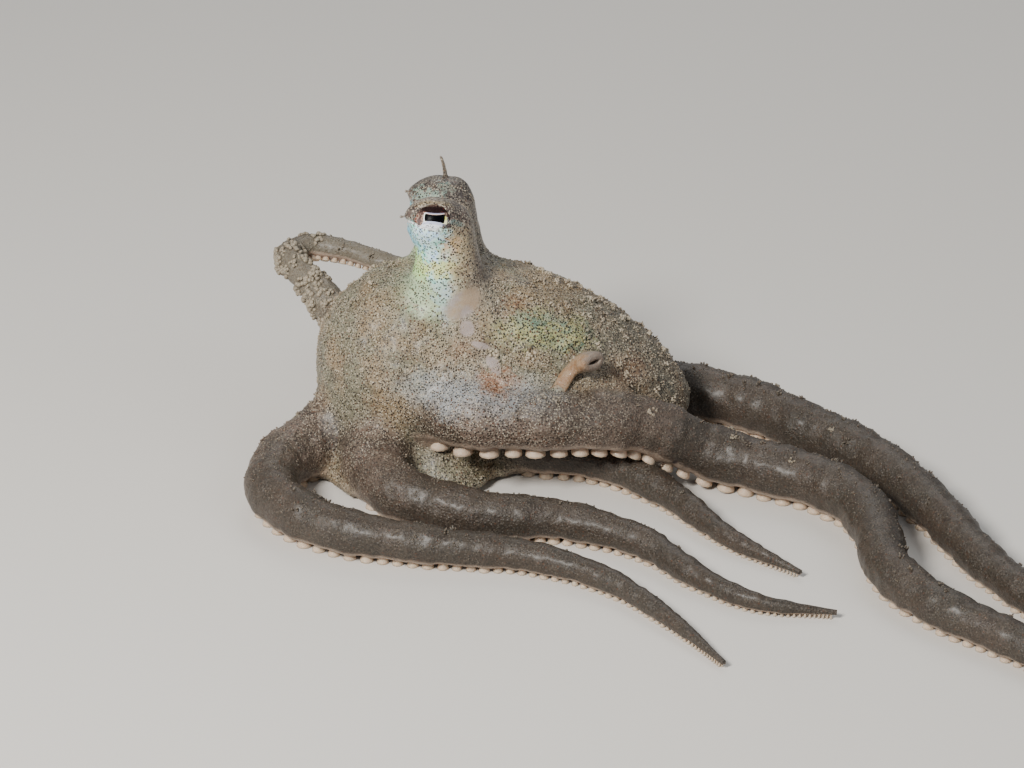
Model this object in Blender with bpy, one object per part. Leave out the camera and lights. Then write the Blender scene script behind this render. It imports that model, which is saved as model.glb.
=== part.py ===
# Long-armed sand octopus, life size, crawling towards -X over a flat floor.
# Metres, +Z up. The origin lies on the floor under the middle of the arm crown.
# The animal's left side faces -Y. L1..L4 and R1..R4 are its arms, front to back.
import math
import random

import bmesh
import bpy
import numpy as np
from mathutils import Matrix, Vector

MM = 0.001
GAP = 0.30 * MM

# Arm crown and head: one rounded dome with a flat sole
CROWN_CENTRE = Vector((0.3, 0.0, 6.3)) * MM
CROWN_LENGTH = 12.8 * MM
CROWN_WIDTH = 12.6 * MM
CROWN_RISE = 6.6 * MM
CROWN_DROP = 7.0 * MM

# Web: a scalloped skirt between the arm roots, as rings of (share of its radius, height in mm)
WEB_RADIUS = 8.7 * MM
WEB_SCALLOP = 0.13
WEB_PROFILE = [(0.50, 0.35), (0.97, 0.35), (1.0, 0.62), (0.93, 1.05),
               (0.80, 1.85), (0.66, 3.2), (0.45, 4.6)]
ARM_COUNT = 8

# Mantle: an egg that slopes down from the neck to the tail
MANTLE_CENTRE = Vector((7.93, 0.0, 7.86)) * MM
MANTLE_SLOPE = math.radians(27.0)
MANTLE_BACK = 11.2 * MM
MANTLE_FRONT = 8.1 * MM
MANTLE_WIDTH = 10.0 * MM
MANTLE_RISE = 4.25 * MM
MANTLE_DROP = 3.9 * MM

# Thin cuts that part the trunk
NECK_POINT = Vector((6.4, 0.0, 9.0)) * MM
NECK_NORMAL = Vector((0.994, 0.0, 0.108))
CHEEK_POINT = Vector((0.0, 0.0, 8.6)) * MM
CHEEK_NORMAL = Vector((0.27, 0.0, 0.963))

# Eye stalks: two upright columns side by side, flaring into the head
STALK_SPREAD = 2.30 * MM
STALK_CUT = 14.0 * MM
STALK_ROOT = 9.8 * MM
STALK_TOP = 18.8 * MM
STALK_FOOT_LENGTH = 6.0 * MM
STALK_NECK_LENGTH = 4.3 * MM
STALK_WIDTH = 4.1 * MM
STALK_FOOT_NARROWING = 0.28
STALK_FLARE_POWER = 2.6
STALK_LEAN_POWER = 1.4
STALK_CAP_FROM = 0.79
STALK_SIDES = 18
STALK_FOOT_X = 3.1 * MM
STALK_HEAD_X = 1.85 * MM
FAR_STALK_DROP = 1.0 * MM

# Eyes and the soft horns over them
EYE_RADIUS = 1.35 * MM
EYE_HEIGHT = 17.1 * MM
EYE_OUT = 0.98 * MM
EYE_UPWARD = 0.24
LID_RADIUS = 0.36 * MM
LID_OUT = 0.72 * MM
HORN_LENGTH = 1.2 * MM
HORN_RADIUS = 0.30 * MM
HORN_TAPER = 0.78
HORN_LEAN = -0.3
HORN_BACK = 0.4 * MM
SMALL_HORN = 0.5

# Funnel: a short bent tube on the left flank
FUNNEL_START = Vector((8.4, -4.0, 8.0)) * MM
FUNNEL_BEND = Vector((9.6, -6.7, 8.2)) * MM
FUNNEL_TIP = Vector((11.5, -6.5, 9.7)) * MM
FUNNEL_RADIUS = 0.80 * MM
FUNNEL_TIP_RADIUS = 0.95 * MM
FUNNEL_BORE = 0.42 * MM
FUNNEL_BORE_DEPTH = 1.3 * MM

# Arms: sections lie closer together where the arm is thin
ARM_SIDES = 10
ARM_STEP = 0.85 * MM
ARM_STEP_SHARE = 0.5
ROOT_FLARE = 0.8 * MM
ROOT_REACH = 9.0 * MM
SOLE_FLATTENING = 0.86
STAND_OFF = 0.16
STAND_OFF_MIN = 0.12 * MM

# Suckers: two rows of shallow cups under each arm, sized by the arm's radius
SUCKER_SIDES = 6
SUCKER_SHARE = 0.36
SUCKER_MIN = 0.13 * MM
SUCKER_ROW = 0.43
SUCKER_PITCH = 1.0
SUCKER_PITCH_MIN = 1.25 * MM
SUCKER_VARY = 0.12
SUCKER_ROOT = 0.45
SUCKER_STEM = 0.66
SUCKER_MOUTH = 0.62
SUCKER_DEPTH = 0.5
SUCKER_FIRST = 3.6 * MM
SUCKER_SEED = 11
LYING_LIFT = 0.02 * MM
FRAME_REACH = 0.2 * MM
ROLL_END = 0.75

# Each arm: base and tip radius, taper power, number of lengths, free start along the
# route, roll of a raised arm in degrees, and its route as (x, y, lift above lying), in mm
ARMS = {
    "L1": dict(base=1.95, tip=0.30, power=1.15, pieces=5, free=7.6, route=[
        (-2.2, -1.0, 0.6), (-5.6, -2.9, 0), (-8.2, -6.0, 0), (-8.2, -10.3, 0), (-4.4, -14.2, 0),
        (1.6, -16.0, 0), (7.5, -17.0, 0), (12.3, -19.7, 0), (15.8, -24.0, 0), (18.6, -28.6, 0)]),
    "L2": dict(base=1.95, tip=0.30, power=1.15, pieces=5, free=7.6, route=[
        (-0.9, -2.2, 0.6), (-2.1, -6.0, 0), (-0.4, -10.0, 0), (4.3, -12.3, 0), (9.8, -12.9, 0),
        (14.4, -15.2, 0), (17.5, -19.0, 0), (21.0, -21.9, 0), (25.6, -22.8, 0)]),
    "L3": dict(base=1.95, tip=0.30, power=1.75, pieces=8, free=6.4, route=[
        (0.9, -2.4, 2.4), (3.4, -6.3, 3.1), (8.0, -7.0, 3.3), (12.0, -6.7, 3.2), (15.0, -5.8, 2.4),
        (18.7, -5.2, 0.5), (22.2, -6.4, 0), (25.9, -8.6, 0), (28.1, -11.5, 0), (28.8, -15.3, 0),
        (29.0, -19.2, 0), (31.2, -23.4, 0), (35.8, -28.0, 0), (40.2, -33.2, 0), (45.4, -36.8, 0),
        (50.6, -36.0, 0), (51.6, -32.6, 0)]),
    "L4": dict(base=1.75, tip=0.30, power=1.1, pieces=4, free=7.0, route=[
        (2.3, -1.0, 0.6), (5.6, -2.4, 0), (8.6, -3.6, 0), (12.2, -4.7, 0), (14.8, -6.9, 0),
        (16.9, -9.4, 0), (19.9, -14.0, 0), (23.9, -17.9, 0)]),
    "R1": dict(base=1.90, tip=0.28, power=0.40, pieces=7, free=6.4, roll=60, route=[
        (-2.0, 1.6, 2.4), (-4.7, 4.2, 5.7), (-6.5, 6.2, 7.6), (-8.0, 7.9, 8.6), (-8.3, 9.6, 8.8),
        (-6.9, 10.7, 8.9), (-4.6, 10.1, 8.85), (-1.8, 8.8, 8.6), (1.6, 8.0, 8.0), (5.2, 8.2, 6.7),
        (9.2, 8.7, 4.4), (13.0, 9.4, 1.6), (16.4, 9.0, 0)]),
    "R2": dict(base=1.95, tip=0.28, power=1.1, pieces=6, free=7.1, route=[
        (-0.9, 2.3, 0.6), (-2.7, 6.0, 0), (-4.4, 10.2, 0), (-3.7, 15.0, 0), (-0.2, 18.8, 0),
        (3.9, 19.2, 0), (6.1, 16.3, 0), (4.4, 13.2, 0), (1.5, 13.3, 0), (0.9, 15.3, 0), (2.6, 16.4, 0)]),
    "R3": dict(base=1.90, tip=0.28, power=1.0, pieces=6, free=7.1, route=[
        (0.9, 2.3, 0.6), (2.7, 6.0, 0), (5.0, 9.5, 0), (9.2, 10.9, 0), (12.8, 12.2, 0),
        (13.6, 15.6, 0), (10.9, 18.0, 0), (8.3, 16.2, 0), (9.0, 13.9, 0), (10.9, 14.3, 0)]),
    "R4": dict(base=1.90, tip=0.30, power=1.9, pieces=8, free=7.0, route=[
        (2.3, 1.0, 0.6), (5.3, 3.2, 0), (8.5, 5.8, 0), (12.2, 6.7, 0), (16.0, 5.6, 0),
        (19.4, 4.3, 0), (22.6, 2.4, 0), (25.6, -0.7, 0), (28.5, -3.6, 0), (30.9, -7.4, 0),
        (33.0, -12.4, 0), (34.7, -17.6, 0), (37.3, -22.6, 0), (40.9, -27.0, 0), (45.6, -29.6, 0),
        (50.0, -28.6, 0), (51.6, -24.6, 0)]),
}

# Colour, metallic, roughness of each finish
FINISHES = {
    "skin": ((0.42, 0.37, 0.30), 0.0, 0.50),
    "stalk_skin": ((0.45, 0.52, 0.44), 0.15, 0.42),
    "arm_skin": ((0.40, 0.33, 0.27), 0.0, 0.52),
    "smooth_skin": ((0.50, 0.43, 0.34), 0.0, 0.40),
    "eye": ((0.08, 0.07, 0.06), 0.0, 0.12),
}

for old in list(bpy.data.objects):
    bpy.data.objects.remove(old, do_unlink=True)


def material(object_name, finish):
    # A Principled BSDF with the finish's colour, metallic value and roughness
    colour, metallic, roughness = FINISHES[finish]
    made = bpy.data.materials.new(object_name + "_" + finish)
    made.use_nodes = True
    shader = made.node_tree.nodes["Principled BSDF"]
    shader.inputs["Base Color"].default_value = (*colour, 1.0)
    shader.inputs["Metallic"].default_value = metallic
    shader.inputs["Roughness"].default_value = roughness
    return made


def add_object(name, mesh, finish=None):
    # Link a mesh as an object; a finish makes it a node with its own material
    made = bpy.data.objects.new(name, mesh)
    bpy.context.scene.collection.objects.link(made)
    if finish:
        mesh.materials.clear()
        mesh.materials.append(material(name, finish))
        mesh.shade_smooth()
        mesh.set_sharp_from_angle(angle=math.radians(40.0))
    return made


def ring_mesh(name, rings, start_pole=False, end_pole=False):
    # A closed skin over rings of points; each end is a flat cap, or a fan if it is a pole
    sides = len(rings[0])
    points = [tuple(point) for ring in rings for point in ring]
    faces = []
    for step in range(len(rings) - 1):
        low = step * sides
        for side in range(sides):
            after = (side + 1) % sides
            faces.append((low + side, low + after, low + sides + after, low + sides + side))
    first = list(range(sides))
    last = [len(points) - sides + side for side in range(sides)]
    for loop, pole in ((first[::-1], start_pole), (last, end_pole)):
        if pole:
            middle = len(points)
            points.append(tuple(np.mean([points[index] for index in loop], axis=0)))
            for side in range(sides):
                faces.append((loop[side], loop[(side + 1) % sides], middle))
        else:
            faces.append(tuple(loop))
    mesh = bpy.data.meshes.new(name)
    mesh.from_pydata(points, [], faces)
    turn_outwards(mesh)
    return mesh


def turn_outwards(mesh):
    # Make every face point out of its solid
    work = bmesh.new()
    work.from_mesh(mesh)
    bmesh.ops.recalc_face_normals(work, faces=work.faces)
    if work.calc_volume(signed=True) < 0:
        bmesh.ops.reverse_faces(work, faces=work.faces)
    work.to_mesh(mesh)
    work.free()


def egg_mesh(name, centre, front, back, half_width, rise, drop, slope=0.0, rows=14, sides=24):
    # An egg with its own length ahead of and behind the centre, and above and below it
    turn = Matrix.Rotation(slope, 3, "Y")
    rings = []
    for row in range(1, rows):
        polar = math.pi * row / rows
        ring = []
        for side in range(sides):
            around = 2.0 * math.pi * side / sides
            along = -math.cos(polar)
            across = math.sin(polar)
            up = across * math.sin(around)
            point = Vector((along * (back if along > 0 else front),
                            across * math.cos(around) * half_width,
                            up * (rise if up > 0 else drop)))
            ring.append(centre + turn @ point)
        rings.append(ring)
    mesh = ring_mesh(name, rings, True, True)
    poles = [centre + turn @ Vector((-front, 0, 0)), centre + turn @ Vector((back, 0, 0))]
    for index, pole in enumerate(poles):
        mesh.vertices[len(mesh.vertices) - 2 + index].co = pole
    return mesh


def dome_mesh(name, centre, half_length, half_width, rise, drop, rows=14, sides=28):
    # A dome built of level rings, its axis upright
    rings = []
    for row in range(1, rows):
        polar = math.pi * row / rows
        up = -math.cos(polar)
        across = math.sin(polar)
        ring = []
        for side in range(sides):
            around = 2.0 * math.pi * side / sides
            ring.append(centre + Vector((across * math.cos(around) * half_length,
                                         across * math.sin(around) * half_width,
                                         up * (rise if up > 0 else drop))))
        rings.append(ring)
    mesh = ring_mesh(name, rings, True, True)
    mesh.vertices[len(mesh.vertices) - 2].co = centre - Vector((0, 0, drop))
    mesh.vertices[len(mesh.vertices) - 1].co = centre + Vector((0, 0, rise))
    return mesh


def keep_side(mesh, point, normal, shift=0.0):
    # Cut a closed mesh by a plane, keep what lies along the normal and cap the cut
    work = bmesh.new()
    work.from_mesh(mesh)
    normal = Vector(normal).normalized()
    bmesh.ops.bisect_plane(work, geom=work.verts[:] + work.edges[:] + work.faces[:],
                           plane_co=Vector(point) + normal * shift, plane_no=normal, clear_inner=True)
    open_edges = [edge for edge in work.edges if edge.is_boundary]
    bmesh.ops.holes_fill(work, edges=open_edges, sides=0)
    bmesh.ops.recalc_face_normals(work, faces=work.faces)
    kept = bpy.data.meshes.new(mesh.name)
    work.to_mesh(kept)
    work.free()
    return kept


def keep_largest(mesh):
    # Keep only the closed surface with the most volume
    work = bmesh.new()
    work.from_mesh(mesh)
    work.verts.ensure_lookup_table()
    group = {}
    for seed in work.verts:
        if seed in group:
            continue
        waiting = [seed]
        group[seed] = seed.index
        while waiting:
            here = waiting.pop()
            for edge in here.link_edges:
                there = edge.other_vert(here)
                if there not in group:
                    group[there] = seed.index
                    waiting.append(there)
    volumes = {}
    for face in work.faces:
        middle = face.calc_center_median()
        share = middle.dot(face.normal) * face.calc_area() / 3.0
        key = group[face.verts[0]]
        volumes[key] = volumes.get(key, 0.0) + share
    best = max(volumes, key=lambda key: volumes[key])
    loose = [vert for vert in work.verts if group[vert] != best]
    bmesh.ops.delete(work, geom=loose, context="VERTS")
    work.to_mesh(mesh)
    work.free()
    return mesh


def combine(name, mesh, pieces, operation="UNION"):
    # Fuse closed pieces to a mesh, or cut them out of it, in one Boolean
    body = add_object(name + "_body", mesh)
    group = bpy.data.collections.new(name + "_pieces")
    bpy.context.scene.collection.children.link(group)
    helpers = []
    for index, piece in enumerate(pieces):
        helper = bpy.data.objects.new(f"{name}_piece_{index}", piece)
        helper.display_type = "WIRE"
        helper.hide_render = True
        group.objects.link(helper)
        helpers.append(helper)
    joining = body.modifiers.new("join", "BOOLEAN")
    joining.operation = operation
    joining.operand_type = "COLLECTION"
    joining.collection = group
    joining.solver = "EXACT"
    view = bpy.context.evaluated_depsgraph_get()
    view.update()
    result = bpy.data.meshes.new_from_object(body.evaluated_get(view))
    result.name = name
    for helper in helpers + [body]:
        bpy.data.objects.remove(helper, do_unlink=True)
    bpy.data.collections.remove(group)
    result.materials.clear()
    return keep_largest(result)


def cup_rings(foot, mouth, side, ahead, radius, floor):
    # A sucker: a stem that widens to a flat rim, and a shallow cup inside it
    down = (mouth - foot).normalized()
    rings = []
    for middle, wide in ((foot, SUCKER_STEM * radius), (mouth, radius), (mouth, SUCKER_MOUTH * radius)):
        ring = []
        for index in range(SUCKER_SIDES):
            around = 2.0 * math.pi * index / SUCKER_SIDES
            point = middle + (side * math.cos(around) + ahead * math.sin(around)) * wide
            if floor and middle is mouth:
                point.z = 0.0
            ring.append(point)
        rings.append(ring)
    return rings, mouth - down * radius * SUCKER_DEPTH


class Arm:
    # A tapering arm carried along a smooth route, with its radius and frame at any length
    def __init__(self, name, base, tip, power, pieces, free, route, roll=0.0):
        self.name = name
        self.base = base * MM
        self.tip = tip * MM
        self.power = power
        self.pieces = pieces
        self.free = free * MM
        self.roll = math.radians(roll)
        self.row = False
        points = np.array(route, float) * MM
        self.track = self.smooth(points)
        steps = np.linalg.norm(np.diff(self.track, axis=0), axis=1)
        self.lengths = np.concatenate(([0.0], np.cumsum(steps)))
        self.length = float(self.lengths[-1])

    @staticmethod
    def smooth(points, fine=24):
        # Catmull-Rom curve through the route, its ends carried on straight
        ends = np.vstack((2 * points[0] - points[1], points, 2 * points[-1] - points[-2]))
        share = np.linspace(0.0, 1.0, fine, endpoint=False)[:, None]
        curve = []
        for index in range(1, len(ends) - 2):
            before, start, stop, after = ends[index - 1:index + 3]
            curve.append(0.5 * (2 * start + (stop - before) * share
                                + (2 * before - 5 * start + 4 * stop - after) * share ** 2
                                + (3 * start - before - 3 * stop + after) * share ** 3))
        curve.append(points[-1:])
        return np.vstack(curve)

    def radius(self, at):
        share = min(max(at / self.length, 0.0), 1.0)
        flare = ROOT_FLARE * max(0.0, 1.0 - at / ROOT_REACH) ** 2
        return self.base + (self.tip - self.base) * share ** self.power + flare

    def stand_off(self, at):
        # Height of the suckers between the sole and the floor
        return STAND_OFF_MIN + STAND_OFF * self.radius(at)

    def middle(self, at):
        # Centre of the arm: the route's lift is counted from its lying height
        x, y, lift = (float(np.interp(at, self.lengths, self.track[:, axis])) for axis in range(3))
        return Vector((x, y, lift + self.radius(at) * SOLE_FLATTENING + self.stand_off(at)))

    def lies(self, at):
        # Whether the arm rests on the floor here
        return float(np.interp(at, self.lengths, self.track[:, 2])) < LYING_LIFT

    def frame(self, at):
        # Forward, side and up directions; a raised arm's roll dies out towards its tip
        ahead = self.middle(min(at + FRAME_REACH, self.length))
        behind = self.middle(max(at - FRAME_REACH, 0.0))
        forward = (ahead - behind).normalized()
        side = forward.cross(Vector((0, 0, 1))).normalized()
        up = side.cross(forward)
        turn = self.roll * max(0.0, 1.0 - at / (ROLL_END * self.length))
        rolled_side = side * math.cos(turn) + up * math.sin(turn)
        rolled_up = up * math.cos(turn) - side * math.sin(turn)
        return forward, rolled_side, rolled_up

    def ring(self, at):
        # A round section with a flatter sole
        centre = self.middle(at)
        forward, side, up = self.frame(at)
        radius = self.radius(at)
        points = []
        for index in range(ARM_SIDES):
            around = 2.0 * math.pi * index / ARM_SIDES
            rise = math.sin(around) * radius
            if rise < 0:
                rise *= SOLE_FLATTENING
            points.append(centre + side * math.cos(around) * radius + up * rise)
        return points

    def next_row(self):
        # Suckers alternate between the left and right row all along the arm
        self.row = not self.row
        return self.row

    def tube(self, name, start, stop, round_end=False, round_start=False):
        # A closed length of the arm between two distances along its route
        step = ARM_STEP + ARM_STEP_SHARE * self.radius(0.5 * (start + stop))
        count = max(2, round((stop - start) / step))
        rings = [self.ring(start + (stop - start) * row / count) for row in range(count + 1)]
        if round_end:
            rings.append([self.middle(stop) + (point - self.middle(stop)) * 0.5
                          + self.frame(stop)[0] * self.radius(stop) * 0.8 for point in rings[-1]])
        if round_start:
            rings.insert(0, [self.middle(start) + (point - self.middle(start)) * 0.5
                             - self.frame(start)[0] * self.radius(start) * 0.6 for point in rings[0]])
        return ring_mesh(name, rings)


def arm_suckers(arm, start, stop, draw):
    # Closed suckers in two staggered rows between two distances along an arm
    span = stop - start
    pitch = SUCKER_PITCH_MIN + SUCKER_PITCH * arm.radius(0.5 * (start + stop))
    count = max(1, round(span / pitch))
    pieces = []
    for index in range(count):
        at = start + span * (index + 0.5) / count
        size = arm.radius(at)
        radius = max(SUCKER_MIN, SUCKER_SHARE * size * (1.0 + SUCKER_VARY * draw.uniform(-1.0, 1.0)))
        row = SUCKER_ROW * size * (1 if arm.next_row() else -1)
        forward, side, up = arm.frame(at)
        centre = arm.middle(at)
        foot = centre + side * row * 0.7 - up * size * SUCKER_ROOT
        mouth = centre + side * row - up * (size * SOLE_FLATTENING + arm.stand_off(at))
        rings, bottom = cup_rings(foot, mouth, side, forward, radius, arm.lies(at))
        sucker = ring_mesh("sucker", rings, end_pole=True)
        sucker.vertices[len(sucker.vertices) - 1].co = bottom
        pieces.append(sucker)
    return pieces


def stalk_ring(share, side):
    # Oval section of a stalk, share 0 at its foot in the head and 1 at the crown of the cap
    top = STALK_TOP - (FAR_STALK_DROP if side > 0 else 0.0)
    height = STALK_ROOT + (top - STALK_ROOT) * share
    flare = (1.0 - share) ** STALK_FLARE_POWER
    rounding = max(0.0, (share - STALK_CAP_FROM) / (1.0 - STALK_CAP_FROM))
    cap = math.sqrt(max(0.0, 1.0 - rounding ** 2))
    length = STALK_NECK_LENGTH + (STALK_FOOT_LENGTH - STALK_NECK_LENGTH) * flare
    width = STALK_WIDTH * (1.0 - STALK_FOOT_NARROWING * flare)
    x = STALK_HEAD_X + (STALK_FOOT_X - STALK_HEAD_X) * (1.0 - share) ** STALK_LEAN_POWER
    ring = []
    for index in range(STALK_SIDES):
        around = 2.0 * math.pi * index / STALK_SIDES
        ring.append(Vector((x + math.cos(around) * length / 2 * cap,
                            side * STALK_SPREAD + math.sin(around) * width / 2 * cap,
                            height)))
    return ring


def stalk_mesh(name, side, rows=13):
    # A stalk from inside the head to its rounded cap
    shares = [math.sin(0.5 * math.pi * row / rows) for row in range(rows)]
    rings = [stalk_ring(share, side) for share in shares]
    middle = (rings[-1][0] + rings[-1][STALK_SIDES // 2]) / 2
    crest = Vector((0, 0, 0.06 * MM))
    rings.append([middle + (point - middle) * 0.4 + crest for point in rings[-1]])
    return ring_mesh(name, rings)


def sphere_mesh(name, centre, radius, rows=9, sides=16, axis=(0, 0, 1)):
    # A ball whose poles lie along the axis
    turn = Vector((0, 0, 1)).rotation_difference(Vector(axis)).to_matrix()
    rings = []
    for row in range(1, rows):
        polar = math.pi * row / rows
        rings.append([centre + turn @ Vector((math.sin(polar) * math.cos(2 * math.pi * side / sides),
                                              math.sin(polar) * math.sin(2 * math.pi * side / sides),
                                              -math.cos(polar))) * radius
                      for side in range(sides)])
    mesh = ring_mesh(name, rings, True, True)
    mesh.vertices[len(mesh.vertices) - 2].co = centre - (turn @ Vector((0, 0, 1))) * radius
    mesh.vertices[len(mesh.vertices) - 1].co = centre + (turn @ Vector((0, 0, 1))) * radius
    return mesh


def ring_tube_mesh(name, centre, axis, major, minor, steps=16, sides=5):
    # A closed ring of round section about an axis
    turn = Vector((0, 0, 1)).rotation_difference(Vector(axis)).to_matrix()
    points = []
    faces = []
    for step in range(steps):
        around = 2.0 * math.pi * step / steps
        for side in range(sides):
            about = 2.0 * math.pi * side / sides
            out = major + minor * math.cos(about)
            points.append(centre + turn @ Vector((out * math.cos(around), out * math.sin(around),
                                                  minor * math.sin(about))))
            after = (step + 1) % steps
            beside = (side + 1) % sides
            faces.append((step * sides + side, after * sides + side,
                          after * sides + beside, step * sides + beside))
    mesh = bpy.data.meshes.new(name)
    mesh.from_pydata(points, [], faces)
    turn_outwards(mesh)
    return mesh


def eye_centre(side):
    height = EYE_HEIGHT - (FAR_STALK_DROP if side > 0 else 0.0)
    return Vector((STALK_HEAD_X - 0.05 * MM, side * (STALK_SPREAD + EYE_OUT), height))


def horn_mesh(name, foot, lean, length, radius, sides=8, rows=5):
    # A soft horn: a tapering spike that bends along its lean
    rings = []
    for row in range(rows):
        share = row / (rows - 1)
        centre = foot + Vector((lean[0] * share ** 1.8, lean[1] * share ** 1.8, share)) * length
        wide = radius * (1.0 - HORN_TAPER * share ** 0.9)
        rings.append([centre + Vector((math.cos(2 * math.pi * side / sides) * wide,
                                       math.sin(2 * math.pi * side / sides) * wide, 0.0))
                      for side in range(sides)])
    return ring_mesh(name, rings)


def mantle_egg(grow=0.0):
    return egg_mesh("egg", MANTLE_CENTRE, MANTLE_FRONT + grow, MANTLE_BACK + grow,
                    MANTLE_WIDTH / 2 + grow, MANTLE_RISE + grow, MANTLE_DROP + grow, MANTLE_SLOPE)


def trunk_mesh():
    # Crown, head and mantle as one body
    dome = dome_mesh("dome", CROWN_CENTRE, CROWN_LENGTH / 2, CROWN_WIDTH / 2, CROWN_RISE, CROWN_DROP)
    return combine("trunk", dome, [mantle_egg()])


def web_mesh():
    # The skirt dips in between neighbouring arms
    sides = ARM_COUNT * 5
    rings = []
    for share, height in WEB_PROFILE:
        ring = []
        for index in range(sides):
            around = 2.0 * math.pi * (index / sides + 0.5 / ARM_COUNT)
            dip = 0.5 - 0.5 * math.cos(2.0 * math.pi * index * ARM_COUNT / sides)
            reach = WEB_RADIUS * share * (1.0 - WEB_SCALLOP * dip * share)
            ring.append(Vector((math.cos(around) * reach, math.sin(around) * reach, height * MM)))
        rings.append(ring)
    return ring_mesh("web", rings)


def build_trunk(arms):
    # Part the trunk at the neck and the cheeks; the crown gets its web and arm roots
    whole = trunk_mesh()
    half_gap = GAP / 2
    mantle = keep_side(whole, NECK_POINT, NECK_NORMAL, half_gap)
    front = keep_side(whole, NECK_POINT, -NECK_NORMAL, half_gap)
    head = keep_side(front, CHEEK_POINT, CHEEK_NORMAL, half_gap)
    crown = keep_side(front, CHEEK_POINT, -CHEEK_NORMAL, half_gap)
    crown = keep_side(crown, (0, 0, 0), (0, 0, 1))
    add_object("mantle", mantle, "skin")

    roots = [arm.tube(arm.name + "_root", 0.0, arm.free - half_gap, round_start=True)
             for arm in arms.values()]
    draw = random.Random(SUCKER_SEED)
    cups = []
    for arm in arms.values():
        cups += arm_suckers(arm, SUCKER_FIRST, arm.free - half_gap, draw)
    crown = combine("crown", crown, [web_mesh()] + roots + cups)
    add_object("crown", crown, "skin")

    feet = [keep_side(stalk_mesh("foot", side), (0, 0, STALK_CUT), (0, 0, -1), half_gap)
            for side in (-1, 1)]
    head = combine("head", head, feet)
    add_object("head", head, "skin")


def build_eyes():
    # Each stalk has a socket that the eyeball fills, and a horn on its cap
    for side, label in ((-1, "left"), (1, "right")):
        stalk = keep_side(stalk_mesh("stalk", side), (0, 0, STALK_CUT), (0, 0, 1), GAP / 2)
        look = Vector((0.0, side, EYE_UPWARD)).normalized()
        socket = sphere_mesh("socket", eye_centre(side), EYE_RADIUS + GAP, axis=look)
        lids = ring_tube_mesh("lids", eye_centre(side) + look * LID_OUT, look,
                              EYE_RADIUS - 0.02 * MM, LID_RADIUS)
        stalk = combine("stalk", stalk, [lids])
        stalk = combine("stalk", stalk, [socket], "DIFFERENCE")
        add_object("eye_stalk_" + label, stalk, "stalk_skin")
        eye = sphere_mesh("eye", eye_centre(side), EYE_RADIUS, axis=look)
        add_object("eye_" + label, eye, "eye")
        top = STALK_TOP - (FAR_STALK_DROP if side > 0 else 0.0)
        size = 1.0 if side > 0 else SMALL_HORN
        foot = Vector((STALK_HEAD_X + HORN_BACK, side * STALK_SPREAD, top + GAP + 0.06 * MM))
        horn = horn_mesh("horn", foot, (HORN_LEAN, 0.0), HORN_LENGTH * size, HORN_RADIUS * size ** 0.3)
        add_object("horn_" + label, horn, "stalk_skin")


def build_funnel():
    # A bent tube that leaves the flank, with a short open bore at its tip
    sides = 12
    rows = 7
    rings = []
    for row in range(rows):
        share = row / (rows - 1)
        inner = FUNNEL_START.lerp(FUNNEL_BEND, share)
        outer = FUNNEL_BEND.lerp(FUNNEL_TIP, share)
        centre = inner.lerp(outer, share)
        forward = (outer - inner).normalized()
        side = forward.cross(Vector((0, 0, 1))).normalized()
        up = side.cross(forward)
        wide = FUNNEL_RADIUS + (FUNNEL_TIP_RADIUS - FUNNEL_RADIUS) * share
        rings.append([centre + (side * math.cos(2 * math.pi * index / sides)
                                + up * math.sin(2 * math.pi * index / sides)) * wide
                      for index in range(sides)])
    bore = FUNNEL_BORE / FUNNEL_TIP_RADIUS
    lip = [FUNNEL_TIP + (point - FUNNEL_TIP) * bore for point in rings[-1]]
    floor = [point - forward * FUNNEL_BORE_DEPTH for point in lip]
    tube = ring_mesh("funnel", rings + [lip, floor])
    cleared = combine("funnel", tube, [mantle_egg(GAP)], "DIFFERENCE")
    add_object("funnel", cleared, "smooth_skin")


def build_arm(arm, draw):
    # Each arm is parted into lengths with a thin gap between neighbours
    free = arm.length - arm.free
    for piece in range(arm.pieces):
        start = arm.free + free * piece / arm.pieces + GAP / 2
        stop = arm.free + free * (piece + 1) / arm.pieces - GAP / 2
        last = piece == arm.pieces - 1
        mesh = arm.tube(arm.name, start, stop, round_end=last)
        mesh = combine(arm.name, mesh, arm_suckers(arm, start, stop, draw))
        add_object(f"arm_{arm.name}_{piece + 1}", mesh, "arm_skin")


def build():
    arms = {name: Arm(name, **sizes) for name, sizes in ARMS.items()}
    build_trunk(arms)
    build_eyes()
    build_funnel()
    draw = random.Random(SUCKER_SEED)
    for arm in arms.values():
        build_arm(arm, draw)
        print(arm.name, "length", round(arm.length / MM, 1), "mm")


build()
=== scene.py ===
import functools
import math

import bpy
import numpy as np
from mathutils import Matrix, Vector


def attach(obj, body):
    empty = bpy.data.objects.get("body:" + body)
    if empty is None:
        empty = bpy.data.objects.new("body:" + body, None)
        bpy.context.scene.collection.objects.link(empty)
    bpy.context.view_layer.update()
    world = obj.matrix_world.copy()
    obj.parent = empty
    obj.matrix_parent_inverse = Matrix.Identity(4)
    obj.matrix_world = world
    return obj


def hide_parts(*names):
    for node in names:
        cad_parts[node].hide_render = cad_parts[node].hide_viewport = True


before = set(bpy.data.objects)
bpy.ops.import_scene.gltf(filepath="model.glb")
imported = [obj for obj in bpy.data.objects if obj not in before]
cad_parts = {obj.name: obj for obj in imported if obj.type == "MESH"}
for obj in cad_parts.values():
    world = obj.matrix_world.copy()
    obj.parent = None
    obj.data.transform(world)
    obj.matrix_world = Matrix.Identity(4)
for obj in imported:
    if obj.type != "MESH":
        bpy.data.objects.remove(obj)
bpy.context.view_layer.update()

mm = 0.001  # every size below is in millimetres, and a mesh is scaled by this as it is made
print("frame loaded:", len(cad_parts), "nodes")


def circle(count):
    # equal angles round a full turn
    return np.linspace(0, 2 * math.pi, count, endpoint=False)


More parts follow.
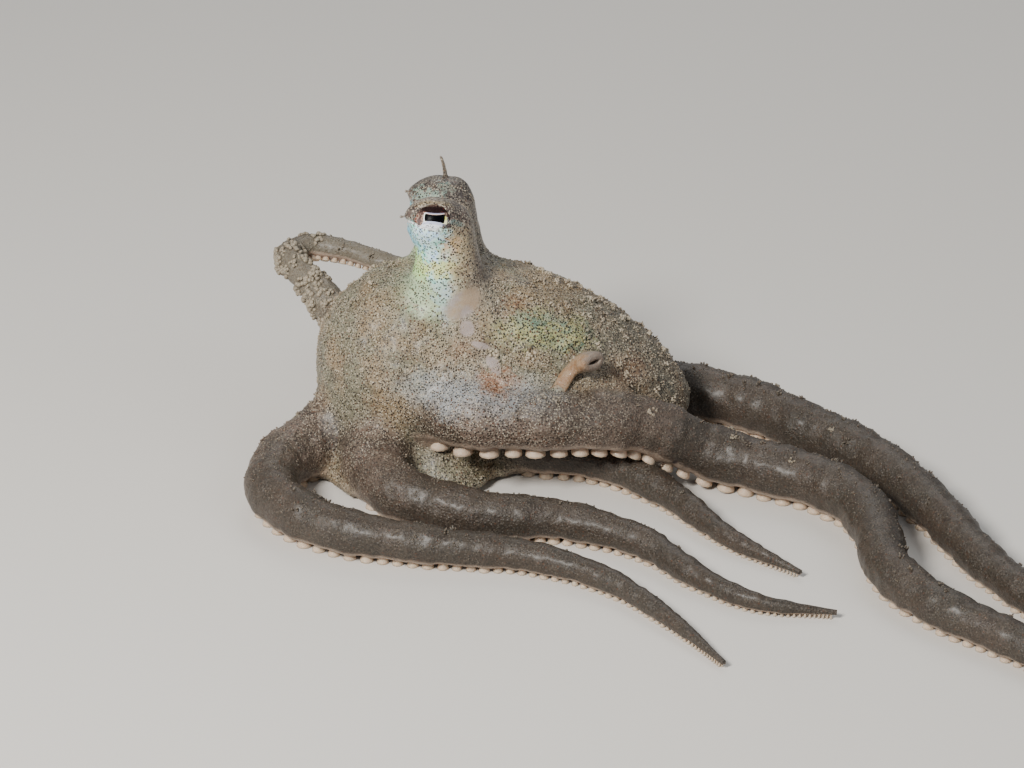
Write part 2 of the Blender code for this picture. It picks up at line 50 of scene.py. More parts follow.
def unit(rows):
    # each row divided by its own length
    return rows / np.maximum(np.linalg.norm(rows, axis=-1, keepdims=True), 1e-12)


def smoothStep(value, low, high):
    # 3t² - 2t³, where t runs from 0 at low to 1 at high
    t = np.clip((value - low) / (high - low), 0.0, 1.0)
    return t * t * (3 - 2 * t)


def waves(points, length, seed, count=16):
    # a soft random field: the sum of sine waves of one length in random directions
    draw = np.random.default_rng(seed)
    ways = unit(draw.normal(size=(count, 3)))
    phases = draw.uniform(0, 2 * math.pi, count)
    return np.sin(points @ ways.T * (2 * math.pi / length) + phases).sum(1) * math.sqrt(2 / count)


def smoothRoute(points, fine=24):
    # Catmull-Rom curve: each span is half of the cubic with the tangents of its neighbours
    points = np.array(points, float)
    ends = np.vstack((2 * points[0] - points[1], points, 2 * points[-1] - points[-2]))
    t = np.linspace(0, 1, fine, endpoint=False)[None, :, None]
    before, start, stop, after = (ends[i:len(ends) - 3 + i, None] for i in range(4))
    curve = 0.5 * (2 * start + (stop - before) * t + (2 * before - 5 * start + 4 * stop - after) * t ** 2
                   + (3 * start - before - 3 * stop + after) * t ** 3)
    return np.vstack((curve.reshape(-1, 3), points[-1:]))


def gridQuads(rows, columns, wrapRows=False):
    # corner numbers of the quads of a grid whose columns close on themselves
    low = np.arange(rows if wrapRows else rows - 1)[:, None]
    high = (low + 1) % rows
    left = np.arange(columns)[None]
    right = (left + 1) % columns
    corners = (low * columns + left, low * columns + right, high * columns + right, high * columns + left)
    return np.stack(np.broadcast_arrays(*corners), -1).reshape(-1, 4)


def poleFans(rows, columns):
    # triangles from each end ring of a grid to its pole, where the two poles come after the grid's points
    left = np.arange(columns)
    right = (left + 1) % columns
    last = (rows - 1) * columns
    start = np.full(columns, rows * columns)
    return np.vstack((np.stack((right, left, start), 1), np.stack((last + left, last + right, start + 1), 1)))


def closedGrid(grid, startPole=None, endPole=None):
    # a grid of rings, closed by a fan from each end ring to its pole (the ring's middle if none is given)
    rows, columns = grid.shape[:2]
    startPole = grid[0].mean(0) if startPole is None else startPole
    endPole = grid[-1].mean(0) if endPole is None else endPole
    return np.vstack((grid.reshape(-1, 3), startPole, endPole)), gridQuads(rows, columns), poleFans(rows, columns)


def turnOut(points, quads, fans=np.zeros((0, 3), int)):
    # all faces turned over where the solid they close has a negative volume, the sum of (a × b) · c
    triangles = np.vstack((quads[:, [0, 1, 2]], quads[:, [0, 2, 3]], fans))
    a, b, c = (points[triangles[:, i]] for i in range(3))
    if (np.cross(a, b) * c).sum() < 0:
        return quads[:, ::-1], fans[:, ::-1]
    return quads, fans


def setPoints(mesh, points):
    # each point's place, from millimetres to metres
    mesh.vertices.foreach_set("co", (points * mm).astype(np.float32).ravel())


def addValues(mesh, values):
    # for each label, one number at every point of the mesh
    for label, row in values.items():
        layer = mesh.attributes.new(label, "FLOAT", "POINT")
        layer.data.foreach_set("value", np.asarray(row, np.float32))


def meshFrom(name, points, quads, fans=(), attributes=None):
    # whole arrays put into a mesh, the quads first and then the triangles
    fans = np.array(fans, int).reshape(-1, 3)
    quads = np.array(quads, int).reshape(-1, 4)
    mesh = bpy.data.meshes.new(name)
    mesh.vertices.add(len(points))
    setPoints(mesh, points)
    mesh.loops.add(quads.size + fans.size)
    mesh.loops.foreach_set("vertex_index", np.concatenate((quads.ravel(), fans.ravel())).astype(np.int32))
    mesh.polygons.add(len(quads) + len(fans))
    starts = np.concatenate((np.arange(len(quads)) * 4, quads.size + np.arange(len(fans)) * 3))
    mesh.polygons.foreach_set("loop_start", starts.astype(np.int32))
    mesh.update(calc_edges=True)
    mesh.polygons.foreach_set("use_smooth", np.ones(len(mesh.polygons), bool))
    addValues(mesh, attributes or {})
    mesh.validate()
    return mesh


def addObject(name, data):
    # a new object in the scene, at the origin
    made = bpy.data.objects.new(name, data)
    bpy.context.scene.collection.objects.link(made)
    return made


def addPiece(name, mesh, finish, replaced=()):
    # a finished piece: at the origin, with its material, its slot and the nodes it stands for
    piece = addObject(name, mesh)
    mesh.materials.clear()
    mesh.materials.append(finish)
    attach(piece, "root")
    if replaced:
        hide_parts(*replaced)
    print(name, len(mesh.polygons), "faces")


def joinAll(parts):
    # several (points, quads, fans) as one set, each part's numbers moved past the last one's
    moved, quads, fans, count = [], [], [], 0
    for points, some, ends in parts:
        moved.append(points)
        quads.append(some + count)
        fans.append(ends + count)
        count += len(points)
    return np.vstack(moved), np.vstack(quads), np.vstack(fans)


armForm = {
    "step": 0.3,          # spacing of the worked-out sections
    "flare": 0.8,         # extra radius at the root
    "flareReach": 9.0,
    "flat": 0.86,         # height of the sole's half of a section
    "sole": 0.96,         # the same for the skin, which comes down over the suckers' roots
    "standShare": 0.16,   # room for the suckers under a lying arm, by radius
    "standLeast": 0.12,
    "thinFrom": 0.88,     # share of the length past which the tip draws out thin
    "thinTip": 0.45,
    "ridge": 0.09,        # the soft keel between the skin and the sole
    "ridgeAngle": 38.0,
    "ridgeWidth": 16.0,
    "waver": 0.035,       # soft swellings along an arm: height, then turns for each millimetre
    "waverTurns": (1.55, 3.7),
    "waverEnd": 0.97,     # share of the length where they end
    "unroll": 0.75,       # share of the length over which the roll is lost
    "lieLift": 0.02,      # an arm lies where it is lifted by less
    "watch": 6,           # points further than this from an arm's box count as far away
}
armRoutes = {  # base and tip radius, taper power, number of nodes, roll, and (x, y, lift above lying)
    "L1": (1.95, 0.30, 1.15, 5, 0, [
        (-2.2, -1.0, 0.6), (-5.6, -2.9, 0), (-8.2, -6.0, 0), (-8.2, -10.3, 0), (-4.4, -14.2, 0),
        (1.6, -16.0, 0), (7.5, -17.0, 0), (12.3, -19.7, 0), (15.8, -24.0, 0), (18.6, -28.6, 0)]),
    "L2": (1.95, 0.30, 1.15, 5, 0, [
        (-0.9, -2.2, 0.6), (-2.1, -6.0, 0), (-0.4, -10.0, 0), (4.3, -12.3, 0), (9.8, -12.9, 0),
        (14.4, -15.2, 0), (17.5, -19.0, 0), (21.0, -21.9, 0), (25.6, -22.8, 0)]),
    "L3": (1.95, 0.30, 1.75, 8, 0, [
        (0.9, -2.4, 2.4), (3.4, -6.3, 3.1), (8.0, -7.0, 3.3), (12.0, -6.7, 3.2), (15.0, -5.8, 2.4),
        (18.7, -5.2, 0.5), (22.2, -6.4, 0), (25.9, -8.6, 0), (28.1, -11.5, 0), (28.8, -15.3, 0),
        (29.0, -19.2, 0), (31.2, -23.4, 0), (35.8, -28.0, 0), (40.2, -33.2, 0), (45.4, -36.8, 0),
        (50.6, -36.0, 0), (51.6, -32.6, 0)]),
    "L4": (1.75, 0.30, 1.1, 4, 0, [
        (2.3, -1.0, 0.6), (5.6, -2.4, 0), (8.6, -3.6, 0), (12.2, -4.7, 0), (14.8, -6.9, 0),
        (16.9, -9.4, 0), (19.9, -14.0, 0), (23.9, -17.9, 0)]),
    "R1": (1.90, 0.28, 0.40, 7, 60, [
        (-2.0, 1.6, 2.4), (-4.7, 4.2, 5.7), (-6.5, 6.2, 7.6), (-8.0, 7.9, 8.6), (-8.3, 9.6, 8.8),
        (-6.9, 10.7, 8.9), (-4.6, 10.1, 8.85), (-1.8, 8.8, 8.6), (1.6, 8.0, 8.0), (5.2, 8.2, 6.7),
        (9.2, 8.7, 4.4), (13.0, 9.4, 1.6), (16.4, 9.0, 0)]),
    "R2": (1.95, 0.28, 1.1, 6, 0, [
        (-0.9, 2.3, 0.6), (-2.7, 6.0, 0), (-4.4, 10.2, 0), (-3.7, 15.0, 0), (-0.2, 18.8, 0),
        (3.9, 19.2, 0), (6.1, 16.3, 0), (4.4, 13.2, 0), (1.5, 13.3, 0), (0.9, 15.3, 0), (2.6, 16.4, 0)]),
    "R3": (1.90, 0.28, 1.0, 6, 0, [
        (0.9, 2.3, 0.6), (2.7, 6.0, 0), (5.0, 9.5, 0), (9.2, 10.9, 0), (12.8, 12.2, 0),
        (13.6, 15.6, 0), (10.9, 18.0, 0), (8.3, 16.2, 0), (9.0, 13.9, 0), (10.9, 14.3, 0)]),
    "R4": (1.90, 0.30, 1.9, 8, 0, [
        (2.3, 1.0, 0.6), (5.3, 3.2, 0), (8.5, 5.8, 0), (12.2, 6.7, 0), (16.0, 5.6, 0),
        (19.4, 4.3, 0), (22.6, 2.4, 0), (25.6, -0.7, 0), (28.5, -3.6, 0), (30.9, -7.4, 0),
        (33.0, -12.4, 0), (34.7, -17.6, 0), (37.3, -22.6, 0), (40.9, -27.0, 0), (45.6, -29.6, 0),
        (50.0, -28.6, 0), (51.6, -24.6, 0)]),
}


def makeArm(base, tip, power, nodes, roll, route):
    # sections along the route: radius = base + (tip - base) share^power + a flare at the root
    track = smoothRoute(route)
    lengths = np.concatenate(([0], np.cumsum(np.linalg.norm(np.diff(track, axis=0), axis=1))))
    total = lengths[-1]
    at = np.linspace(0, total, int(total / armForm["step"]) + 1)
    share = at / total
    flare = armForm["flare"] * np.maximum(0, 1 - at / armForm["flareReach"]) ** 2
    radius = base + (tip - base) * share ** power + flare
    stand = armForm["standLeast"] + armForm["standShare"] * radius
    x, y, lift = (np.interp(at, lengths, track[:, axis]) for axis in range(3))
    middle = np.stack((x, y, lift + radius * armForm["flat"] + stand), 1)
    forward = unit(np.gradient(middle, at, axis=0))
    side = unit(np.cross(forward, (0.0, 0.0, 1.0)))
    up = np.cross(side, forward)
    turn = math.radians(roll) * np.maximum(0, 1 - at / (armForm["unroll"] * total))[:, None]
    slow, quick = armForm["waverTurns"]
    swell = np.sin(at * slow + total) + 0.6 * np.sin(at * quick + 2 * total)
    waver = 1 + armForm["waver"] * swell * (share < armForm["waverEnd"])
    return {
        "at": at, "share": share, "middle": middle, "forward": forward, "full": radius, "stand": stand,
        "radius": radius * waver * (1 - armForm["thinTip"] * smoothStep(share, armForm["thinFrom"], 1)),
        "side": side * np.cos(turn) + up * np.sin(turn),
        "up": up * np.cos(turn) - side * np.sin(turn),
        "total": total, "lies": lift < armForm["lieLift"], "nodes": nodes,
    }


arms = {label: makeArm(*values) for label, values in armRoutes.items()}
print("arms worked out:", {label: round(arm["total"], 1) for label, arm in arms.items()})


trunkForm = {
    "crown": {"centre": (0.3, 0, 6.3), "slope": 0, "front": 6.4, "back": 6.4, "side": 6.3, "rise": 6.6, "drop": 7.0},
    "mantle": {"centre": (7.93, 0, 7.86), "slope": 27, "front": 8.1, "back": 11.2, "side": 5.0,
               "rise": 4.25, "drop": 3.9},
    "fold": {"centre": (8.9, -4.6, 6.7), "slope": 8, "front": 6.0, "back": 5.4, "side": 1.9,
             "rise": 1.5, "drop": 1.4},
    "webReach": 8.7,
    "webHeight": 8.0,
    "webFoot": 0.62,
    "webUnder": 0.35,
    "webScallop": 0.13,
    "webRows": [(0.05, 0.35), (0.97, 0.35), (1.0, 0.62), (0.75, 2.62), (0.5, 4.62), (0.25, 6.6)],  # share, height
}
stalkForm = {
    "spread": 2.3,
    "topLeft": 18.30,
    "topRight": 18.02,
    "foot": 9.8,
    "footX": 3.1,
    "headX": 1.85,
    "lean": 1.4,
    "flare": 2.6,
    "length": 4.3,
    "footLength": 6.0,
    "width": 3.8,
    "footNarrowing": 0.22,
    "waist": 0.51,       # drawn in ahead, under the eye
    "waistAt": 0.60,
    "waistReach": 0.155,
    "cap": 1.9,
    "sunk": 0.8,         # of its foot below "foot"
}
eyeForm = {
    "radius": 1.45,
    "x": 1.75,
    "y": 3.10,
    "zLeft": 17.13,
    "zRight": 16.15,
    "upward": 0.70,      # rise of the look for each length outwards
    "ahead": 0.0,
    "halfAhead": 1.62,   # of the opening between the lids, towards the front and the tail
    "halfBehind": 1.12,
    "halfUp": 0.94,
    "halfDown": 0.74,
    "lidOver": 0.10,     # thickness of the lids over the ball
    "browLeft": {"centre": (0.75, -2.88, 17.93), "slope": -28, "front": 1.0, "back": 1.2, "side": 0.75,
                 "rise": 0.46, "drop": 0.50},
    "browRight": {"centre": (0.75, 2.75, 17.16), "slope": -22, "front": 0.98, "back": 1.2, "side": 0.75,
                  "rise": 0.36, "drop": 0.50},
    "shoulder": {"centre": (3.0, 2.7, 16.97), "slope": 0, "front": 1.3, "back": 0.74, "side": 0.9,
                 "rise": 0.84, "drop": 1.2},
}


def slopeTurn(slope):
    # the turn about Y that lowers the tail end by some degrees
    angle = math.radians(slope)
    return np.array([[math.cos(angle), 0, math.sin(angle)], [0, 1, 0], [-math.sin(angle), 0, math.cos(angle)]])


def nearOval(q, r):
    # (k - 1) k / m, with k the length of q/r and m that of q/r²: near the true distance by the surface
    k = np.linalg.norm(q / r, axis=1)
    m = np.maximum(np.linalg.norm(q / r ** 2, axis=1), 1e-9)
    return (k - 1) * k / m, q / r ** 2 / m[:, None]


def ovalDistance(points, centre, slope, front, back, side, rise, drop):
    # the same for an oval whose half sizes differ ahead and behind, above and below
    turn = slopeTurn(slope)
    q = (points - centre) @ turn
    r = np.stack((np.where(q[:, 0] > 0, back, front), np.full(len(q), side),
                  np.where(q[:, 2] > 0, rise, drop)), 1)
    distance, way = nearOval(q, r)
    return distance, way @ turn.T


def webDip(around):
    # 1 midway between two of the eight arm roots, 0 on them
    return 0.5 - 0.5 * np.cos(8 * around - math.pi)


def webDistance(points):
    # a low cone, z = foot + height (1 - s), whose reach dips in between the arm roots
    flat = np.linalg.norm(points[:, :2], axis=1)
    dip = webDip(np.arctan2(points[:, 1], points[:, 0]))
    s = flat / trunkForm["webReach"]
    s = s / (1 - trunkForm["webScallop"] * dip * np.minimum(s, 1))
    steep = math.atan(trunkForm["webHeight"] / trunkForm["webReach"])
    top = (points[:, 2] - trunkForm["webFoot"] - trunkForm["webHeight"] * (1 - s)) * math.cos(steep)
    under = trunkForm["webUnder"] - points[:, 2]
    outward = points[:, :2] / np.maximum(flat, 1e-9)[:, None] * math.sin(steep)
    slant = np.column_stack((outward, np.full(len(points), math.cos(steep))))
    lower = under > top
    return np.where(lower, under, top), np.where(lower[:, None], (0.0, 0.0, -1.0), slant)


def stalkMeasures(height, top):
    # half lengths ahead and behind, half width and middle x of a stalk at a height
    share = np.clip((height - stalkForm["foot"]) / (top - stalkForm["foot"]), 0, 1)
    flare = (1 - share) ** stalkForm["flare"]
    half = (stalkForm["length"] + (stalkForm["footLength"] - stalkForm["length"]) * flare) / 2
    ahead = half - stalkForm["waist"] * np.exp(-((share - stalkForm["waistAt"]) / stalkForm["waistReach"]) ** 2)
    wide = stalkForm["width"] * (1 - stalkForm["footNarrowing"] * flare) / 2
    x = stalkForm["headX"] + (stalkForm["footX"] - stalkForm["headX"]) * (1 - share) ** stalkForm["lean"]
    return ahead, half, wide, x


def stalkDistance(points, side, top):
    # an oval column, closed above by half an oval of its own width
    cap = top - stalkForm["cap"]
    held = np.clip(points[:, 2], stalkForm["foot"] - stalkForm["sunk"], cap)
    ahead, half, wide, x = stalkMeasures(held, top)
    q = points - np.stack((x, np.full(len(x), side * stalkForm["spread"]), held), 1)
    return nearOval(q, np.stack((np.where(q[:, 0] < 0, ahead, half), wide, np.full(len(x), stalkForm["cap"])), 1))


def armDistance(points, arm):
    # distance in the nearest section: the length of (a, b) less the radius there, b stretched in the sole
    near = np.zeros(len(points), int)
    low, high = arm["middle"].min(0) - armForm["watch"], arm["middle"].max(0) + armForm["watch"]
    boxed = ((points > low) & (points < high)).all(1)
    inside = np.flatnonzero(boxed)
    for start in range(0, len(inside), 20000):  # in lots, to spare memory
        some = inside[start:start + 20000]
        gaps = ((points[some, None] - arm["middle"][None]) ** 2).sum(-1)
        near[some] = gaps.argmin(1)
    offset = points - arm["middle"][near]
    forward = arm["forward"][near]
    slide = (offset * forward).sum(1)
    inner = (near > 0) & (near < len(arm["at"]) - 1)
    last = np.where(inner, 0.0, slide)
    a = (offset * arm["side"][near]).sum(1)
    b = (offset * arm["up"][near]).sum(1)
    stretch = np.where(b < 0, 1 / armForm["sole"], 1.0)
    at = arm["at"][near] + slide
    radius = np.interp(at, arm["at"], arm["radius"])
    angle = np.degrees(np.arctan2(b, np.abs(a)))
    keel = armForm["ridge"] * np.exp(-((angle + armForm["ridgeAngle"]) / armForm["ridgeWidth"]) ** 2)
    radius = radius * (1 + keel * smoothStep(at / arm["total"], 0.04, 0.15))
    far = np.sqrt(a ** 2 + (b * stretch) ** 2 + last ** 2)
    way = unit(arm["side"][near] * a[:, None] + arm["up"][near] * (b * stretch ** 2)[:, None]
               + forward * last[:, None])
    distance = np.where(boxed, far - radius, 1e3)
    return distance, way, at / arm["total"], b / np.maximum(radius, 1e-6), a / np.maximum(radius, 1e-6)


def eyeFrame(side):
    # the ball's centre, and its look, level (towards the tail) and upright directions
    centre = np.array((eyeForm["x"], side * eyeForm["y"], eyeForm["zLeft"] if side < 0 else eyeForm["zRight"]))
    look = unit(np.array((eyeForm["ahead"], side, eyeForm["upward"])))
    level = unit(np.cross(look, (0.0, 0.0, 1.0))) * side
    upright = unit(np.cross(level, look)) * side
    return centre, look, level, upright


eyes = {-1: eyeFrame(-1), 1: eyeFrame(1)}


def skinParts(points):
    # distances and outward directions of every part at each point, with the arms' own coordinates
    parts = [ovalDistance(points, **trunkForm[label]) for label in ("crown", "mantle", "fold")]
    parts += [webDistance(points), stalkDistance(points, -1, stalkForm["topLeft"]),
              stalkDistance(points, 1, stalkForm["topRight"])]
    for side in (-1, 1):
        offset = points - eyes[side][0]
        parts.append((np.linalg.norm(offset, axis=1) - eyeForm["radius"] - eyeForm["lidOver"], unit(offset)))
    parts += [ovalDistance(points, **eyeForm[label]) for label in ("browLeft", "browRight", "shoulder")]
    reached = [armDistance(points, arm) for arm in arms.values()]
    distance = np.stack([part[0] for part in parts] + [arm[0] for arm in reached], 1)
    ways = np.stack([part[1] for part in parts] + [arm[1] for arm in reached], 1)
    return distance, ways, reached


skinForm = {
    "voxel": 0.23,
    "grown": 0.10,       # parts are grown by this before they are fused, then drawn back
    "blend": 0.13,       # softness of the creases between parts
    "webBlend": 0.34,    # more of it between the arm roots
    "rounds": 5,
    "stride": 0.4,       # the longest step in a round
    "trunkParts": 4,     # the first of skinParts' columns, then those of the stalks, eyes and brows
    "headParts": 11,
    "armSoft": 0.35,     # softness of the line between arm and trunk, and between stalk and trunk
    "stalkSoft": 0.5,
    "lumps": [(2.6, 0.05), (1.2, 0.035), (0.75, 0.022)],  # length and height: back of the trunk, all, all but stalks
    "pit": 0.86,         # radius of the pit behind the ball, as a share of the ball's
    "pitReach": 2.4,
}


def skinLevel(distance, ways, points):
    # soft least distance, -k log of the sum of exp(-d/k), with its direction
    flat = np.linalg.norm(points[:, :2], axis=1)
    web = (1 - smoothStep(flat, 6.0, 11.0)) * (1 - smoothStep(points[:, 2], 12.0, 14.5))
    k = skinForm["blend"] + skinForm["webBlend"] * web
    least = distance.min(1)
    weight = np.exp(-np.minimum((distance - least[:, None]) / k[:, None], 60))
    total = weight.sum(1)
    way = (ways * weight[..., None]).sum(1) / total[:, None]
    return least - k * np.log(total), way


def ovalGrid(centre, slope, front, back, side, rise, drop, grown, rows=40, columns=64):
    # centre + R (along front/back, across side, across rise/drop), with across = sin and along = -cos
    polar = np.linspace(0.05, math.pi - 0.05, rows)[:, None]
    around = circle(columns)[None]
    x = -np.cos(polar) + 0 * around
    y = np.sin(polar) * np.cos(around)
    z = np.sin(polar) * np.sin(around)
    q = np.stack((x * np.where(x > 0, back + grown, front + grown), y * (side + grown),
                  z * np.where(z > 0, rise + grown, drop + grown)), -1)
    return closedGrid(np.array(centre) + q @ slopeTurn(slope).T)


def fuseSkin():
    # rough closed parts, fused by a voxel remesh, then each point is walked to the soft least distance of 0
    grown = skinForm["grown"]
    around = circle(40)
    parts = [ovalGrid(**trunkForm[label], grown=grown) for label in ("crown", "mantle", "fold")]
    reach, height = np.array(trunkForm["webRows"]).T
    reach = trunkForm["webReach"] * reach
    wide = reach[:, None] * (1 - trunkForm["webScallop"] * webDip(around) * (reach / reach.max())[:, None])
    parts.append(closedGrid(np.stack((wide * np.cos(around), wide * np.sin(around),
                                      height[:, None] + 0 * around), -1)))
    for side, top in ((-1, stalkForm["topLeft"]), (1, stalkForm["topRight"])):
        polar = np.linspace(0.06, math.pi / 2, 10)[::-1]
        high = np.concatenate((np.linspace(stalkForm["foot"], top - stalkForm["cap"], 20),
                               top - stalkForm["cap"] * (1 - np.cos(polar))))
        cap = np.concatenate((np.ones(20), np.sin(polar)))
        held = np.minimum(high, top - stalkForm["cap"])
        ahead, half, across, x = stalkMeasures(held, top)
        half, across = (half + grown) * cap, (across + grown) * cap
        ring = np.stack((x[:, None] + half[:, None] * np.cos(around), side * stalkForm["spread"]
                         + across[:, None] * np.sin(around), high[:, None] + 0 * around), -1)
        parts.append(closedGrid(ring))
        size = eyeForm["radius"] + eyeForm["lidOver"] + grown
        parts.append(ovalGrid(eyes[side][0], 0, size, size, size, size, size, 0, rows=20, columns=32))
        parts.append(ovalGrid(grown=grown, rows=16, columns=24, **eyeForm["browLeft" if side < 0 else "browRight"]))
    parts.append(ovalGrid(grown=grown, rows=16, columns=24, **eyeForm["shoulder"]))
    around = circle(20)
    for arm in arms.values():
        radius = (arm["full"] + grown)[:, None]
        rise = np.sin(around)[None] * radius
        rise = np.where(rise < 0, rise * armForm["flat"], rise)
        ring = (arm["middle"][:, None] + arm["side"][:, None] * (np.cos(around)[None] * radius)[..., None]
                + arm["up"][:, None] * rise[..., None])
        parts.append(closedGrid(ring))
    rough = meshFrom("rough", *joinAll([(points, *turnOut(points, quads, fans)) for points, quads, fans in parts]))
    helper = addObject("rough", rough)
    remesh = helper.modifiers.new("fuse", "REMESH")
    remesh.mode = "VOXEL"
    remesh.voxel_size = skinForm["voxel"] * mm
    view = bpy.context.evaluated_depsgraph_get()
    view.update()
    fused = bpy.data.meshes.new_from_object(helper.evaluated_get(view))
    bpy.data.objects.remove(helper, do_unlink=True)
    points = np.empty(len(fused.vertices) * 3, np.float32)
    fused.vertices.foreach_get("co", points)
    points = points.reshape(-1, 3).astype(float) / mm
    for turn in range(skinForm["rounds"]):
        distance, ways, reached = skinParts(points)
        level, way = skinLevel(distance, ways, points)
        step = np.clip(level, -skinForm["stride"], skinForm["stride"])
        points = points - step[:, None] * way * (0.9 if turn else 0.7)
    return fused, points


fused, skinPoints = fuseSkin()
print("skin fused:", len(fused.polygons), "faces")


def skinMarks(points):
    # how far each point belongs to an arm or a stalk, 1 / (1 + exp(d / softness)), and its place on the arm
    distance, ways, reached = skinParts(points)
    trunk, stalks, armGap = np.split(distance, (skinForm["trunkParts"], skinForm["headParts"]), 1)
    trunk, stalks, gap = trunk.min(1), stalks.min(1), armGap.min(1)
    nearest = armGap.argmin(1)
    pick = np.arange(len(points))
    share, lower, beside = (np.stack([arm[i] for arm in reached], 1)[pick, nearest] for i in (2, 3, 4))
    armness = 1 / (1 + np.exp(np.clip((gap - trunk) / skinForm["armSoft"], -30, 30)))
    stalkness = 1 / (1 + np.exp(np.clip((stalks - np.minimum(trunk, gap)) / skinForm["stalkSoft"], -30, 30)))
    return {"armness": armness, "stalkness": stalkness, "share": np.clip(share, 0, 1),
            "lower": np.clip(lower, -1.2, 1.2), "beside": beside, "nearest": nearest}


def openingAngle(around):
    # polar edge of the eye's opening: the mean of an almond, up (1 - (across / wide)²), and an oval
    up = np.where(np.sin(around) > 0, eyeForm["halfUp"], eyeForm["halfDown"])
    rise = np.abs(np.sin(around))
    run = np.abs(np.cos(around)) / np.where(np.cos(around) < 0, eyeForm["halfAhead"], eyeForm["halfBehind"])
    almond = 2 * up / (rise + np.sqrt(rise ** 2 + (2 * up * run) ** 2))
    oval = 1 / np.sqrt(run ** 2 + (rise / up) ** 2)
    return 0.5 * (almond + oval) / eyeForm["radius"]


def shapeSkin(points, normals, marks):
    # soft lumps and folds along the normal, a flat sole, and a pit under each eye's opening
    back = smoothStep(normals[:, 2], -0.2, 0.6) * (1 - marks["stalkness"])
    trunk = back * (1 - marks["armness"])
    broad, middling, small = (waves(points, length, 3 + i) * height
                              for i, (length, height) in enumerate(skinForm["lumps"]))
    lumps = broad * trunk + middling * (0.3 + 0.7 * trunk)
    lumps += small * (1 - 0.6 * marks["stalkness"])
    points = points + normals * lumps[:, None] * smoothStep(marks["share"], 1.0, 0.9)[:, None]
    for centre, look, level, upright in eyes.values():
        offset = points - centre
        far = np.linalg.norm(offset, axis=1)
        polar = np.arccos(np.clip((offset @ look) / np.maximum(far, 1e-9), -1, 1))
        around = np.arctan2(offset @ upright, offset @ level)
        pit = (1 - smoothStep(polar - openingAngle(around), 0.10, 0.24)) * (far < skinForm["pitReach"])
        points = points - unit(offset) * ((far - eyeForm["radius"] * skinForm["pit"]) * pit)[:, None]
    points[:, 2] = np.maximum(points[:, 2], 0.0)
    return points


def movedNormals(mesh, points):
    # the mesh with its points moved, and its normals there: the mean of each point's faces, by their angles
    setPoints(mesh, points)
    mesh.update()
    normals = np.empty(len(mesh.vertices) * 3, np.float32)
    mesh.vertex_normals.foreach_get("vector", normals)
    return normals.reshape(-1, 3).astype(float)


markLabels = ("armness", "stalkness", "share", "lower")  # the marks that the shaders read
marks = skinMarks(skinPoints)
skinPoints = shapeSkin(skinPoints, movedNormals(fused, skinPoints), marks)
skinNormals = movedNormals(fused, skinPoints)
fused.polygons.foreach_set("use_smooth", np.ones(len(fused.polygons), bool))
addValues(fused, {label: marks[label] for label in markLabels})
print("skin shaped:", len(fused.vertices), "points")


def tone(red, green, blue):
    # a screen colour, 0 to 255, as the linear values that a shader takes
    return tuple(((c / 255 + 0.055) / 1.055) ** 2.4 for c in (red, green, blue)) + (1.0,)


class Wire:
    # one socket; + - * and / on it add Math nodes, | takes the greater of two, and abs() drops the sign

    def __init__(self, finish, socket):
        self.finish = finish
        self.socket = socket

    def math(self, operation, *values):
        # a Math node on this socket and the values
        return self.finish.node("ShaderNodeMath", {"operation": operation}, dict(enumerate((self, *values))))

    def __add__(self, other):
        return self.math("ADD", other)

    def __sub__(self, other):
        return self.math("SUBTRACT", other)

    def __mul__(self, other):
        return self.math("MULTIPLY", other)

    def __truediv__(self, other):
        return self.math("DIVIDE", other)

    def __or__(self, other):
        return self.math("MAXIMUM", other)

    def __abs__(self):
        return self.math("ABSOLUTE")

    def __rsub__(self, other):
        return self.finish.node("ShaderNodeMath", {"operation": "SUBTRACT"}, {0: other, 1: self})

    __radd__ = __add__
    __rmul__ = __mul__


